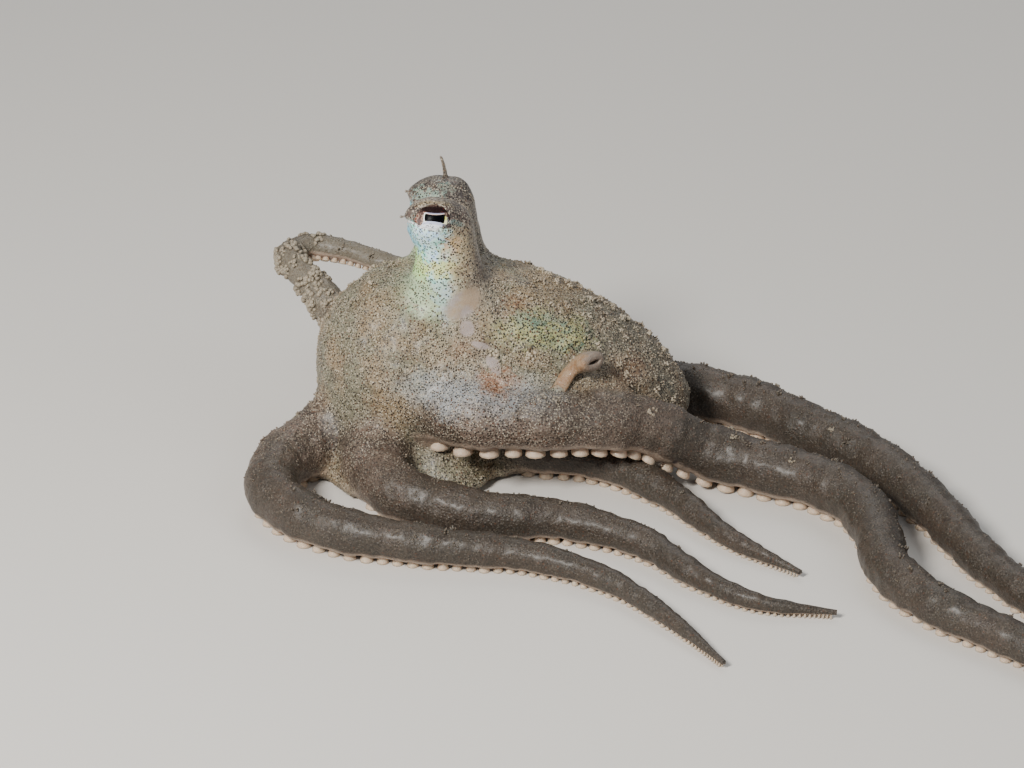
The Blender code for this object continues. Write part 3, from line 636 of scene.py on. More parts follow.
class Finish:
    # one material, and the ways to add nodes to it

    def __init__(self, name):
        self.material = bpy.data.materials.new(name)
        self.material.use_nodes = True
        self.tree = self.material.node_tree
        self.shader = self.tree.nodes["Principled BSDF"]

    def node(self, kind, settings=None, inputs=None, out=0):
        # the settings come first, then each input is a link or a value
        made = self.tree.nodes.new(kind)
        for key, value in (settings or {}).items():
            if key == "stops":
                while len(made.color_ramp.elements) < len(value):
                    made.color_ramp.elements.new(0.5)
                for element, (place, colour) in zip(made.color_ramp.elements, value):
                    element.position = place
                    element.color = tone(*colour)
            else:
                setattr(made, key, value)
        for key, value in (inputs or {}).items():
            if isinstance(value, Wire):
                self.tree.links.new(value.socket, made.inputs[key])
            else:
                made.inputs[key].default_value = value
        return Wire(self, made.outputs[out])

    def step(self, value, low, high):
        # 0 below low, 1 above high, smooth between; low may be the larger one
        settings = {"interpolation_type": "SMOOTHSTEP"}
        if low < high:
            return self.node("ShaderNodeMapRange", settings, {"Value": value, "From Min": low, "From Max": high})
        return 1 - self.node("ShaderNodeMapRange", settings, {"Value": value, "From Min": high, "From Max": low})

    def steps(self, *rows):
        # the product of a step for each (value, low, high)
        return functools.reduce(lambda first, second: first * second, (self.step(*row) for row in rows))

    def union(self, masks):
        # the greatest of several masks
        return functools.reduce(lambda first, second: first | second, masks)

    def mix(self, share, first, second):
        # a colour from the first to the second, each a socket or a screen colour
        first, second = (colour if isinstance(colour, Wire) else tone(*colour) for colour in (first, second))
        return self.node("ShaderNodeMix", {"data_type": "RGBA"}, {0: share, 6: first, 7: second}, out=2)

    def ramp(self, value, *stops):
        # a colour by the value, from (value, screen colour) pairs
        return self.node("ShaderNodeValToRGB", {"stops": stops}, {0: value})

    def noise(self, place, size, detail=3.0, roughness=0.55, out=0):
        # soft noise, its grain about size millimetres across
        return self.node("ShaderNodeTexNoise", None, {"Vector": place, "Scale": 1 / size, "Detail": detail,
                                                      "Roughness": roughness}, out=out)

    def cells(self, place, size, out="Distance"):
        # distance to the nearest of many scattered points, about size millimetres apart
        return self.node("ShaderNodeTexVoronoi", None, {"Vector": place, "Scale": 1 / size}, out=out)

    def vector(self, operation, *values, out=0):
        # a Vector Math node on the values
        return self.node("ShaderNodeVectorMath", {"operation": operation}, dict(enumerate(values)), out=out)

    def shift(self, place, way, amount):
        # place + amount · way
        return self.vector("MULTIPLY_ADD", way, (amount,) * 3, place)

    def join(self, *values):
        # a vector of up to three numbers
        return self.node("ShaderNodeCombineXYZ", None, dict(enumerate(values)))

    def oval(self, first, second):
        # √(first² + second²)
        return self.vector("LENGTH", self.join(first, second), out="Value")

    def attribute(self, name):
        # the number that the mesh holds at each point
        return self.node("ShaderNodeAttribute", {"attribute_name": name}, out="Fac")

    def place(self):
        # the point itself, in millimetres
        return self.vector("MULTIPLY", self.node("ShaderNodeTexCoord", out="Object"), (1000.0, 1000.0, 1000.0))

    def parts(self, vector):
        # x, y and z of a vector
        return tuple(self.node("ShaderNodeSeparateXYZ", None, {0: vector}, out=axis) for axis in range(3))

    def mirror(self, vector):
        # x, |y| and z, so that one mark serves both flanks
        x, y, z = self.parts(vector)
        return self.join(x, abs(y), z)

    def blob(self, place, centre, size, soft=0.5, turn=0):
        # 1 inside an oval round the centre, falling to 0 outside it; turned from x towards z by some degrees
        if turn:
            place = self.node("ShaderNodeVectorRotate", {"rotation_type": "Y_AXIS"},
                              {"Vector": place, "Center": centre, "Angle": math.radians(turn)})
        apart = self.vector("DIVIDE", self.vector("SUBTRACT", place, centre), size)
        return self.step(self.vector("LENGTH", apart, out="Value"), 1 + soft, 1 - soft)

    def patch(self, ground, place, centre, size, soft, turn, share, colour):
        # a colour laid over the ground in one blob
        return self.mix(self.blob(place, centre, size, soft, turn) * share, ground, colour)

    def bump(self, height, distance):
        # the normal tilted by a height that is worth some millimetres
        return self.node("ShaderNodeBump", None, {"Height": height, "Distance": distance * mm, "Strength": 1.0})

    def set(self, **values):
        # the shader's own inputs, each a link or a value
        for key, value in values.items():
            key = key.replace("_", " ")
            if isinstance(value, Wire):
                self.tree.links.new(value.socket, self.shader.inputs[key])
            else:
                self.shader.inputs[key].default_value = value


skinLook = {  # screen colours, 0 to 255, then sizes in millimetres
    "sand": (134, 116, 89), "greyGreen": (119, 115, 95), "brown": (74, 61, 50), "back": (80, 70, 63),
    "taupe": (107, 90, 80), "armBrownAndShade": (72, 59, 51), "armTipBrownAndShade": (38, 31, 26), "loop": (122, 114, 99),
    "sole": (150, 127, 112), "keel": (196, 176, 156), "orange": (136, 82, 36), "pale": (216, 204, 182),
    "dots": (22, 15, 11), "rust": (84, 52, 32), "speck": (40, 28, 34), "smooth": (160, 139, 116),
    "lilac": (160, 147, 143), "stalkEdge": (104, 190, 216), "stalkFoot": (184, 222, 108),
    "stalkBack": (198, 176, 132), "belowStalk": (176, 188, 176), "cap": (140, 130, 116), "capDark": (112, 100, 92),
    "farCapShade": (62, 56, 54), "glint": (160, 190, 150), "lid": (74, 59, 55), "crest": (168, 150, 108),
    "teal": (122, 158, 156), "seam": (236, 238, 242), "corner": (48, 30, 40),
    "dotSpacing": 0.145,
    "flecks": 0.15,
    "granules": 0.21,
}
shineRamp = (0.34, (96, 152, 134)), (0.44, (134, 160, 128)), (0.54, (184, 182, 112)), (0.66, (140, 162, 128))
silverRamp = (0.34, (150, 234, 222)), (0.46, (208, 250, 240)), (0.56, (218, 250, 254)), (0.66, (186, 222, 254))
skinPatches = {  # middle, half sizes, softness, turn, strength and colour, y for both flanks
    "cheek": ((2.9, 5.5, 9.1), (1.8, 2.2, 1.2), 0.7, 0, 0.4, (186, 172, 150)),
    "tan": ((4.75, 4.3, 11.5), (0.5, 1.4, 1.3), 0.6, 0, 0.5, (170, 146, 108)),
    "silverBand": ((3.8, 7.0, 7.2), (4.4, 1.9, 1.0), 0.7, 0, 0.46, (184, 193, 199)),
    "stalkYellow": ((2.1, 4.1, 14.40), (1.35, 1.6, 0.50), 0.5, 0, 0.8, (222, 224, 128)),
    "stalkOrange": ((2.75, 4.1, 15.9), (0.55, 1.6, 0.75), 0.6, 0, 0.6, (214, 158, 92)),
    "capTan": ((3.1, 4.1, 15.2), (1.1, 1.6, 1.9), 0.7, 0, 0.6, (182, 158, 118)),
    "dullSpot": ((9.6, 3.5, 11.65), (1.6, 1.4, 0.40), 0.5, -15, 0.55, (138, 124, 108)),
}
orangePlaces = [  # middle, half sizes and strength of the orange-brown patches, y for both flanks
    ((1.55, 4.2, 11.9), (0.5, 1.2, 0.4), 0.6), ((0.6, 5.0, 10.8), (0.8, 1.6, 0.6), 0.4),
    ((3.2, 4.6, 9.3), (0.8, 1.6, 0.5), 0.5), ((5.6, 5.7, 7.6), (1.2, 2.4, 0.6), 1.0),
    ((6.75, 3.9, 11.65), (0.8, 1.4, 0.5), 0.45), ((13.9, 3.6, 7.4), (1.4, 1.8, 0.9), 0.35),
]
barePlaces = [  # middle, half sizes and turn of the smooth spots behind the stalk
    ((3.47, 4.1, 12.05), (1.32, 1.6, 0.84), 35), ((3.71, 4.4, 10.5), (0.45, 1.2, 0.52), 0),
    ((4.54, 4.8, 9.44), (0.62, 1.2, 0.20), -15), ((5.36, 5.3, 8.44), (0.62, 1.2, 0.30), -45),
]
speckPlaces = [((9.47, -0.17, 11.8), (0.2, 0.2, 0.2)), ((16.78, -6.79, 2.45), (0.28, 0.28, 0.2))]  # round dark marks


def eyePlace(m, place, side):
    # offset from the eye's middle along its level, upright and look directions
    centre, look, level, upright = eyes[side]
    offset = m.vector("SUBTRACT", place, tuple(centre))
    return [m.vector("DOT_PRODUCT", offset, tuple(way), out="Value") for way in (level, upright, look)]


def stalkColour(m, place, close, grainy, mosaic, patchy):
    # silver ahead and below the eye, blue at the front edge, yellow-green at the foot, grey and tan above and
    # behind, and painted shade that makes the far stalk's cap darker and duller; returns the colour and how dull it
    # is
    look = skinLook
    x, y, z = m.parts(place)
    xn = m.parts(close)[0]
    shakes = m.parts(mosaic)
    silver = m.ramp(m.noise(grainy, 0.7, 3), *silverRamp)
    edge = xn + z * 0.3
    blue = m.steps((edge + shakes[1] * 0.6, 5.85, 5.30), (z, 15.2, 15.8), (z, 17.2, 16.6))
    silver = m.mix(blue * 0.75, silver, look["stalkEdge"])
    silver = m.mix(m.steps((edge, 5.55, 5.20), (z, 15.9, 15.3)) * 0.8, silver, look["stalkFoot"])
    silver = m.patch(silver, close, *skinPatches["stalkYellow"])
    silver = m.mix(m.step(xn, 2.0, 3.2) * 0.8, silver, look["stalkBack"])
    silver = m.patch(silver, close, *skinPatches["stalkOrange"])
    rise = z * 0.906 - abs(y) * 0.423  # height along the stalk's outward tilt
    above = m.step(rise + x * 0.30 + (patchy - 0.5) * 0.9 + shakes[2] * 0.5, 14.1, 14.8)
    behind = m.step(xn, 2.6, 3.9)
    glint = m.blob(grainy, (0.75, 1.0, 17.22), (1.40, 1.1, 0.45), 0.30, -6)
    glint = glint | m.blob(grainy, (2.45, 1.4, 17.72), (0.45, 1.0, 0.34), 0.4) * 0.5
    # painted shade: the far stalk's cap is dulled and darkened against the near one
    farSide = m.step(y, -0.8, 0.8)
    farCapShade = m.step(z + (patchy - 0.5) * 0.6, 16.3, 16.8) * farSide
    dull = ((above | farCapShade) * (1 - glint * 0.45)) | behind
    cap = m.mix(m.step(patchy, 0.42, 0.62), look["cap"], look["capDark"])
    cap = m.patch(cap, close, *skinPatches["capTan"])
    # painted shade: the top of the far cap darker still
    cap = m.mix(m.step(z, 16.5, 17.3) * farSide * 0.8, cap, look["farCapShade"])
    silver = m.mix(glint * above * 0.7, silver, look["glint"])
    onStalk = m.mix(dull, silver, cap)
    return m.mix(m.steps((z, 13.9, 13.1), (xn, 3.6, 2.4)) * 0.6, onStalk, look["belowStalk"]), dull


def roundEye(m, ground, place, mosaic, patchy, fine, stalk):
    # a dark zone over and behind each eye; returns the ground with it, and the zone
    look = skinLook
    x, y, z = m.parts(place)
    drop = eyeForm["zLeft"] - eyeForm["zRight"]
    level, upright, out = eyePlace(m, m.join(x, abs(y) * -1, z + m.step(y, -0.5, 0.5) * drop), -1)
    ring = m.oval((level + 0.10) / 2.3, (upright - 0.12) / 1.10)
    lid = m.steps((ring + (patchy - 0.5) * 0.25, 1.06, 0.82), (out, -0.9, -0.3)) * stalk
    # its lower edge falls from the front corner and rises again behind, with a white line along the front part
    gap = upright - ((-0.716 * level - 1.11) | level * 0.375 - 0.79)
    lid = lid * m.step(gap + m.parts(mosaic)[0] * 0.12, -0.04, 0.10)
    ground = m.mix(lid * 0.80, ground, look["lid"])
    crest = m.steps((upright + level * level * 0.12, 0.75, 1.0), (abs(level), 1.5, 0.6)) * lid
    ground = m.mix(crest * 0.45, ground, look["crest"])
    ahead = m.step(out, 0.0, 0.4)
    teal = m.step(m.oval((level - 1.35) / 0.45, (upright + 0.22) / 0.18) + (fine - 0.5), 1.3, 0.7) * ahead * stalk
    ground = m.mix(teal * 0.5, ground, look["teal"])
    seam = m.steps((gap, -0.16, -0.10), (gap, 0.02, -0.04), (level, -0.5, -0.7), (level, -2.0, -1.85))
    ground = m.mix(seam * m.step(out, -0.6, -0.2) * stalk * 0.85, ground, look["seam"])
    corner = m.oval((level - 0.74) / 0.34, (upright + 0.54 - (level - 0.74) * 0.2) / 0.15)
    return m.mix(m.step(corner, 1.3, 0.7) * ahead * stalk * 0.85, ground, look["corner"]), lid


def skinColour(m):
    # ground, patches, pale flecks and dark dots; returns colour, height, roughness and metallic
    look = skinLook
    place = m.place()
    half = (0.5, 0.5, 0.5)
    sway = m.vector("SUBTRACT", m.noise(place, 1.7, 3, 0.5, "Color"), half)
    mosaic = m.vector("SUBTRACT", m.cells(place, 0.24, "Color"), half)
    grainy = m.shift(place, mosaic, 0.6)
    # the place itself, one that wavers widely and one that wavers a little, each for both flanks
    spots = place, m.shift(grainy, sway, 2.4), m.shift(grainy, sway, 1.0)
    flank, loose, close = (m.mirror(spot) for spot in spots)
    xs, z = m.parts(loose)[0], m.parts(place)[2]
    arm, stalk, share, lower = (m.attribute(label) for label in markLabels)
    broad = m.noise(place, 2.6, 4)
    patchy = m.noise(place, 1.1, 4, 0.6)
    fine = m.noise(place, 0.22, 3, 0.65)
    ground = m.mix(m.step(broad, 0.40, 0.60), look["sand"], look["greyGreen"])
    ground = m.mix(m.step(patchy, 0.50, 0.68) * 0.55, ground, look["brown"])
    # the arms' brown, darker towards their tips, is partly their own colour and partly painted shade of the light
    # falling off along them
    onArm = m.mix(m.step(m.noise(place, 3.0, 4, 0.6) + share * 0.12, 0.42, 0.60), look["taupe"], look["armBrownAndShade"])
    onArm = m.mix(m.step(share, 0.06, 0.36) * 0.85, onArm, look["armTipBrownAndShade"])
    ground = m.mix(arm * 0.92, ground, onArm)
    farArm = arm * m.step(share, 0.05, 0.28)
    # the upper limb of the lifted right arm is pale, the back of the mantle darker and browner
    loop = m.blob(place, (-4.6, 7.2, 9.4), (6.2, 4.4, 4.4), 0.3) * arm
    ground = m.mix(loop * 0.7, ground, look["loop"])
    ground = m.mix(m.step(xs, 8.0, 15.0) * (1 - arm) * 0.5, ground, look["back"])
    # a paler cheek, tan round the smooth spot, and a silvery band over the root of the third arm
    ground = m.patch(ground, loose, *skinPatches["cheek"])
    ground = m.patch(ground, close, *skinPatches["tan"])
    ground = m.patch(ground, loose, *skinPatches["silverBand"])
    warm = m.union(m.blob(close, centre, size, 0.6) * strength for centre, size, strength in orangePlaces)
    ground = m.mix(warm * 0.8, ground, look["orange"])
    # the shining patch on the mantle's flank, teal ahead and behind, yellow-green between
    shine = m.blob(loose, (8.8, 4.4, 10.1), (3.4, 1.7, 1.1), 0.5, -6)
    ground = m.mix(shine * 0.6, ground, m.ramp(m.noise(grainy, 1.3, 3), *shineRamp))
    onStalk, dull = stalkColour(m, place, close, grainy, mosaic, patchy)
    low = m.blob(loose, (1.5, 3.9, 12.6), (1.9, 2.6, 1.3), 0.5) * m.step(xs, 3.4, 2.4)
    column = stalk | low * 0.8
    ground, lid = roundEye(m, m.mix(column, ground, onStalk), place, mosaic, patchy, fine, stalk)
    # soles are paler and bare of dots; the pale line on the ridge above them is a painted highlight
    under = m.step(lower, -0.40, -0.72) * arm
    ground = m.mix(under * 0.85, ground, look["sole"])
    # painted highlight: a pale line along the keel just above the sole
    ground = m.mix(m.steps((lower, -0.74, -0.62), (lower, -0.46, -0.58)) * arm * 0.35, ground, look["keel"])
    # smooth bare spots behind the stalk, and a duller one on the mantle
    slight = m.shift(m.vector("MULTIPLY", flank, (0.88, 0.88, 0.88)), loose, 0.12)
    bare = m.union(m.blob(slight, centre, size, 0.26, turn) for centre, size, turn in barePlaces)
    bareTone = m.mix(m.step(m.noise(place, 1.3, 3) + (11.6 - z) * 0.12, 0.44, 0.62), look["smooth"], look["lilac"])
    ground = m.patch(ground, close, *skinPatches["dullSpot"])
    ground = m.mix(bare * 0.85, ground, bareTone)
    plain = (1 - under) * (1 - bare)
    # fine mottling, pale granules between the dots
    bright = column * (1 - dull)
    ground = m.mix(m.step(fine, 0.56, 0.30) * 0.35 * plain * (1 - bright), ground, look["brown"])
    granule = m.step(m.cells(place, look["granules"]), 0.52, 0.12)
    dense = m.step(m.noise(place, 0.8, 3), 0.32, 0.58)
    fleck = m.step(m.cells(place, look["flecks"]), 0.40, 0.20) * dense * plain * (1 - bright * 0.7)
    light = fleck * 0.95 | granule * 0.34 * plain | granule * 0.75 * lid
    ground = m.mix(light * (0.74 - farArm * 0.65 - bright * 0.30 - shine * 0.35), ground, look["pale"])
    # dark dots, each with its own size; smaller and fewer on the silver, some of them rusty
    own = m.parts(m.cells(place, look["dotSpacing"], "Color"))[0]
    spot = m.cells(place, look["dotSpacing"]) - own * 0.14
    dot = m.step(spot - bright * 0.02 - shine * 0.06, 0.38, 0.22) * (1 - bright * m.step(own, 0.28, 0.14))
    dotTone = m.mix(warm * 0.8 | m.step(own, 0.93, 0.96), look["dots"], look["rust"])
    ground = m.mix(dot * plain * (1 - loop * 0.5) * (0.95 - farArm * 0.36), ground, dotTone)
    speck = m.union(m.blob(place, centre, size, 0.3) for centre, size in speckPlaces)
    ground = m.mix(speck * 0.85, ground, look["speck"])
    height = granule * (0.38 - column * 0.22) * plain + fine * 0.35 + fleck * 0.3 + m.noise(place, 0.09, 2) * 0.25
    metal = (bright * 0.04 + shine * 0.12) * (1 - bare)
    return ground, height + broad * 0.3, 0.44 - column * 0.06 + fine * 0.14, metal


def makeSkin(name, depth=0.07, tip=None, tipShare=0.8):
    # the damp, slightly translucent finish of all flesh; "tip" mixes in a paler colour by tipShare - 0.35 armness
    m = Finish(name)
    colour, height, rough, metal = skinColour(m)
    if tip:
        colour = m.mix(m.attribute("tip") * (tipShare - m.attribute("armness") * 0.35), colour, tip)
    m.set(Base_Color=colour, Roughness=rough, Metallic=metal, Normal=m.bump(height, depth))
    m.set(Subsurface_Weight=0.14, Subsurface_Radius=(1.0, 0.62, 0.42), Subsurface_Scale=0.25 * mm,
          Coat_Weight=0.12, Coat_Roughness=0.28, Specular_IOR_Level=0.45)
    return m.material


skinFinish = makeSkin("octopus skin")
fleshNodes = ["crown", "head", "mantle", "eye_stalk_left", "eye_stalk_right"]
fleshNodes += [f"arm_{label}_{length + 1}" for label, arm in arms.items() for length in range(arm["nodes"])]
addPiece("skin", fused, skinFinish, fleshNodes)


bakeForm = {
    "edge": 0.02,        # room left at the map's edge
    "trunkWide": 0.46,   # the trunk takes the left half, from x = front over the length, round the line at a height
    "front": -9,
    "length": 29,
    "height": 6.0,
    "armStart": 0.505,   # the arms take the right half, one strip each
    "armPitch": 0.061,
    "armWide": 0.05,
    "patch": 0.0015,     # radius of one small form's patch
}


def skinUnwrap(points, marks):
    # an unwrap of the skin's own shape: the trunk by x and the angle round its long line, each arm a strip
    form, edge = bakeForm, bakeForm["edge"]
    high = 1 - 2 * edge
    angle = np.arctan2(points[:, 1], points[:, 2] - form["height"]) / (2 * math.pi) + 0.5
    run = np.clip((points[:, 0] - form["front"]) / form["length"], 0, 1)
    trunk = np.stack((edge + form["trunkWide"] * run, edge + high * angle), 1)
    about = np.arctan2(marks["lower"], marks["beside"]) / (2 * math.pi) + 0.5
    strip = np.stack((form["armStart"] + form["armPitch"] * marks["nearest"] + form["armWide"] * about,
                      edge + high * marks["share"]), 1)
    return np.where((marks["armness"] > 0.5)[:, None], strip, trunk)


def scatter(count, weight, seed):
    # points drawn on the skin's faces, by area times weight; returns places, normals and marks
    draw = np.random.default_rng(seed)
    quads = faceCorners(fused).reshape(-1, 4)
    a, b, c, d = (skinPoints[quads[:, i]] for i in range(4))
    area = np.linalg.norm(np.cross(c - a, d - b), axis=1) / 2
    odds = area * weight[quads].mean(1)
    chosen = draw.choice(len(quads), count, p=odds / odds.sum())
    u, v = draw.random((2, count, 1))
    shares = np.concatenate(((1 - u) * (1 - v), u * (1 - v), u * v, (1 - u) * v), 1)
    points = (skinPoints[quads[chosen]] * shares[..., None]).sum(1)
    normals = unit((skinNormals[quads[chosen]] * shares[..., None]).sum(1))
    return points, normals, {label: values[quads[chosen, 0]] for label, values in marks.items()}


def ringsAbout(line, aside, across, sides, radius):
    # for each form, rings of the given radii about its line: cos towards aside, sin towards across
    around = circle(sides)[:, None]
    ring = aside[:, None, None] * np.cos(around) + across[:, None, None] * np.sin(around)
    return line[:, :, None] + ring * radius[:, :, None, None]


def manyForms(name, rings, foot, tip, attributes):
    # one mesh of many like closed forms, each of its own rings and a pole at its foot and at its tip
    count, rows, sides = rings.shape[:3]
    each = rows * sides + 2
    points = np.concatenate((rings.reshape(count, -1, 3), foot[:, None], tip[:, None]), 1).reshape(-1, 3)
    shift = (np.arange(count) * each)[:, None, None]
    quads, fans = turnOut(points - points.mean(0), (gridQuads(rows, sides)[None] + shift).reshape(-1, 4),
                          (poleFans(rows, sides)[None] + shift).reshape(-1, 3))
    return meshFrom(name, points, quads, fans, attributes)


def faceCorners(mesh):
    # the point number at each corner of the mesh's faces
    corners = np.empty(len(mesh.loops), np.int32)
    mesh.loops.foreach_get("vertex_index", corners)
    return corners


def acrossPair(normals):
    # two directions at right angles to each normal and to each other
    aside = unit(np.cross(normals, (0.31, 0.22, 0.93)))
    return aside, np.cross(normals, aside)


def growAll(name, points, normals, place, radius, height, lean, profile, sides, finish):
    # each form is its profile (radius share, height share) turned about its own axis, which bends by lean h²
    count = len(points)
    wide, high = np.array(profile).T
    bend = lean[:, None] * np.maximum(high, 0)[None, :, None] ** 2
    line = points[:, None] + (normals[:, None] * high[None, :, None] + bend) * height[:, None, None]
    rings = ringsAbout(line, *acrossPair(normals), sides, wide[None] * radius[:, None])
    tip = line[:, -1] + normals * (0.10 * height)[:, None]
    rise = np.clip(high, 0, 1)
    each = len(profile) * sides + 2
    values = {label: np.repeat(place[label], each) for label in markLabels}
    values["tip"] = np.tile(np.concatenate((np.repeat(rise, sides), (0, 1))), count)
    mesh = manyForms(name, rings, line[:, 0], tip, values)
    # bake map: each form is a small round patch at its root's place on the skin's unwrap
    disc = np.concatenate((np.repeat(1 - 0.8 * rise, sides), (1.0, 0.0)))
    turned = np.concatenate((np.tile(circle(sides), len(profile)), (0.0, 0.0)))
    patch = np.stack((np.cos(turned), np.sin(turned)), 1) * (bakeForm["patch"] * disc)[:, None]
    coords = (skinUnwrap(points, place)[:, None] + patch[None]).reshape(-1, 2)
    layer = mesh.uv_layers.new(name="OFBake")
    layer.data.foreach_set("uv", coords[faceCorners(mesh)].astype(np.float32).ravel())
    addPiece(name, mesh, finish)


papillaForm = {  # profiles of radius and height, and numbers of forms
    "bump": [(1.15, -0.5), (1.0, 0.10), (0.85, 0.55), (0.45, 0.92)],
    "knob": [(0.80, -0.5), (0.88, 0.10), (1.0, 0.45), (0.90, 0.80), (0.50, 0.99)],
    "bumps": 3600,
    "grains": 3900,
    "clusters": 420,
    "loopClusters": 100,
}
papillaFinish = makeSkin("papilla skin", 0.02, (174, 161, 142), 0.55)
paleFinish = makeSkin("pale knob skin", 0.02, (186, 172, 150))
looseness = np.random.default_rng(21)
# small forms keep off the underside, the eyes and stalks, the smooth spot and the stalks' foot
up = skinNormals[:, 2]
notUnder = smoothStep(up, -0.35, 0.25)
eyeApart = np.minimum(*[np.linalg.norm(skinPoints - eyes[side][0], axis=1) for side in (-1, 1)])
clear = smoothStep(eyeApart, 2.0, 2.8) * (1 - 0.95 * marks["stalkness"])


def ovalReach(points, centre, size):
    # distance of each point from an oval's middle, by the oval's half sizes
    return np.linalg.norm((points - centre) / size, axis=1)


bareSpot = smoothStep(ovalReach(np.abs(skinPoints), (3.6, 4.1, 11.9), (1.3, 1.5, 1.2)), 0.8, 1.2)
foot = smoothStep(ovalReach(skinPoints * (1, 0, 1), (1.4, 0, 12.8), (1.6, 1, 1.5)), 0.8, 1.2)
shown = notUnder * clear * bareSpot * foot
trunkWeight = shown * (1 - marks["armness"])
armWeight = smoothStep(up, 0.15, 0.7) * marks["armness"] * (1 - smoothStep(marks["share"], 0.35, 0.9))
# on the lifted arm they stand on its upper side, from near its root to a third of its length
lifted = marks["nearest"] == list(arms).index("R1")
loopWeight = lifted * marks["armness"] * smoothStep(marks["lower"], -0.6, 0.0)
loopWeight = loopWeight * (1 - smoothStep(marks["share"], 0.28, 0.42)) * smoothStep(marks["share"], 0.05, 0.12)
uneven = 0.3 + smoothStep(waves(skinPoints, 1.6, 8), -0.2, 1.2)
onShine = ovalReach(np.abs(skinPoints), (8.8, 4.4, 10.1), (3.4, 2.2, 1.3))
uneven = uneven * (0.15 + 0.85 * smoothStep(onShine, 0.9, 1.8))


def growBumps(name, places, size, least, most, sides, finish):
    # low rounded forms, each of its own height by its size and leaning a little
    growAll(name, *places, size, size * looseness.uniform(least, most, len(size)),
            looseness.normal(0, 0.2, (len(size), 3)), papillaForm["bump"], sides, finish)


for name, count, least, most, sides, seed in (("papillaeSmall", papillaForm["bumps"], 0.055, 0.085, 6, 31),
                                              ("papillaeGrains", papillaForm["grains"], 0.03, 0.055, 5, 34)):
    bumpPlaces = scatter(count, (trunkWeight + 0.5 * armWeight) * uneven, seed)
    size = looseness.uniform(least, most, count) * (1 - 0.35 * bumpPlaces[2]["share"])
    growBumps(name, bumpPlaces, size, 0.7, 1.5, sides, papillaFinish)


def heads(roots, normals, place, reach, count, size, height, seed):
    # each root becomes a tuft of round heads that fan out from it, the middle ones longest: points within reach,
    # far = the root of a random share, turned outwards by 0.85 far, sunk by far²/4 and lower by 0.45 far²
    draw = np.random.default_rng(seed)
    each = np.repeat(np.arange(len(roots)), count)
    far = np.sqrt(draw.random(len(each)))
    turn = draw.uniform(0, 2 * math.pi, len(each))
    aside, across = acrossPair(normals[each])
    spread = aside * np.cos(turn)[:, None] + across * np.sin(turn)[:, None]
    points = roots[each] + spread * (far * reach[each])[:, None]
    lean = unit(normals[each] + spread * (0.85 * far)[:, None])
    points = points - normals[each] * (0.25 * far ** 2 * reach[each])[:, None]
    return (points, lean, {label: values[each] for label, values in place.items()},
            size[each] * draw.uniform(0.75, 1.15, len(each)),
            height[each] * (1 - 0.45 * far ** 2) * draw.uniform(0.8, 1.1, len(each)),
            draw.normal(0, 0.12, (len(each), 3)))


backWeight = smoothStep(up, 0.1, 0.8) * shown * (1 - marks["armness"])
backWeight = backWeight * (0.1 + smoothStep(waves(skinPoints, 2.0, 9), 0.1, 1.2))


def growTufts(name, places, reach, count, size, height, seed, sides, finish):
    # tufts of heads whose radius and height are each a + b · reach
    growAll(name, *heads(*places, reach, count, size[0] + size[1] * reach, height[0] + height[1] * reach, seed),
            papillaForm["knob"], sides, finish)


for name, kind, weight, least, most, count, size, height, seed, finish in (
        ("papillaeTufts", "clusters", backWeight + 0.06 * armWeight, 0.05, 0.17, 5, (0.035, 0.22), (0.08, 1.1), 32,
         papillaFinish),
        ("papillaeLoop", "loopClusters", loopWeight, 0.12, 0.34, 6, (0.08, 0.30), (0.06, 0.75), 33, paleFinish)):
    tuftPlaces = scatter(papillaForm[kind], weight, seed)
    reach = looseness.uniform(least, most, papillaForm[kind])
    growTufts(name, tuftPlaces, reach, count, size, height, seed + 9, 6, finish)

knobPlaces = [  # x, z and reach of the pale knob clusters on either flank
    (5.3, 8.9, 0.30), (6.1, 8.6, 0.16), (7.7, 8.8, 0.32), (10.4, 8.3, 0.20), (13.3, 7.5, 0.22),
    (13.8, 7.0, 0.20), (15.3, 5.9, 0.26), (15.8, 5.5, 0.20), (17.0, 4.6, 0.16), (8.5, 7.2, 0.24),
    (9.3, 7.1, 0.20), (-2.4, 12.2, 0.20), (4.5, 7.4, 0.16), (0.5, 11.7, 0.16), (0.8, 9.5, 0.15),
    (1.5, 8.9, 0.16), (2.9, 10.5, 0.14), (14.2, 10.0, 0.18), (20.5, 3.7, 0.20), (-3.7, 9.9, 0.14),
    (7.0, 12.0, 0.14), (9.0, 11.4, 0.14), (11.5, 10.4, 0.16), (24.0, 3.2, 0.18), (27.0, 3.0, 0.16),
    (4.0, 8.0, 0.14), (12.0, 8.9, 0.14), (-1.5, 11.0, 0.15), (2.0, 7.9, 0.13), (16.5, 6.5, 0.16),
    (6.8, 8.2, 0.13), (3.6, 9.0, 0.13), (2.4, 9.6, 0.12), (11.3, 7.6, 0.13), (0.2, 8.3, 0.12),
    (-3.0, 8.0, 0.13), (8.5, 12.8, 0.20), (8.9, 12.3, 0.16), (9.4, 11.9, 0.13), (11.6, 10.8, 0.17),
    (11.0, 10.5, 0.15), (14.2, 9.5, 0.20), (12.2, 10.0, 0.13), (13.8, 8.7, 0.15), (13.5, 9.1, 0.12),
    (15.6, 8.3, 0.16), (16.6, 7.4, 0.14), (10.3, 11.9, 0.15),
]


def knobRoot(x, z, side):
    # the skin point nearest an x and z, with 5 mm added where the skin faces the other flank
    apart = np.hypot(skinPoints[:, 0] - x, skinPoints[:, 2] - z) + 5.0 * (skinNormals[:, 1] * side < 0.0)
    return apart.argmin()


roots = np.array([knobRoot(x, z, side) for side in (-1, 1) for x, z, reach in knobPlaces])
reach = np.tile([place[2] for place in knobPlaces], 2)
rootPlaces = skinPoints[roots], skinNormals[roots], {label: values[roots] for label, values in marks.items()}
growTufts("papillaeKnobs", rootPlaces, reach, 12, (0.03, 0.28), (0.06, 0.65), 43, 8, paleFinish)


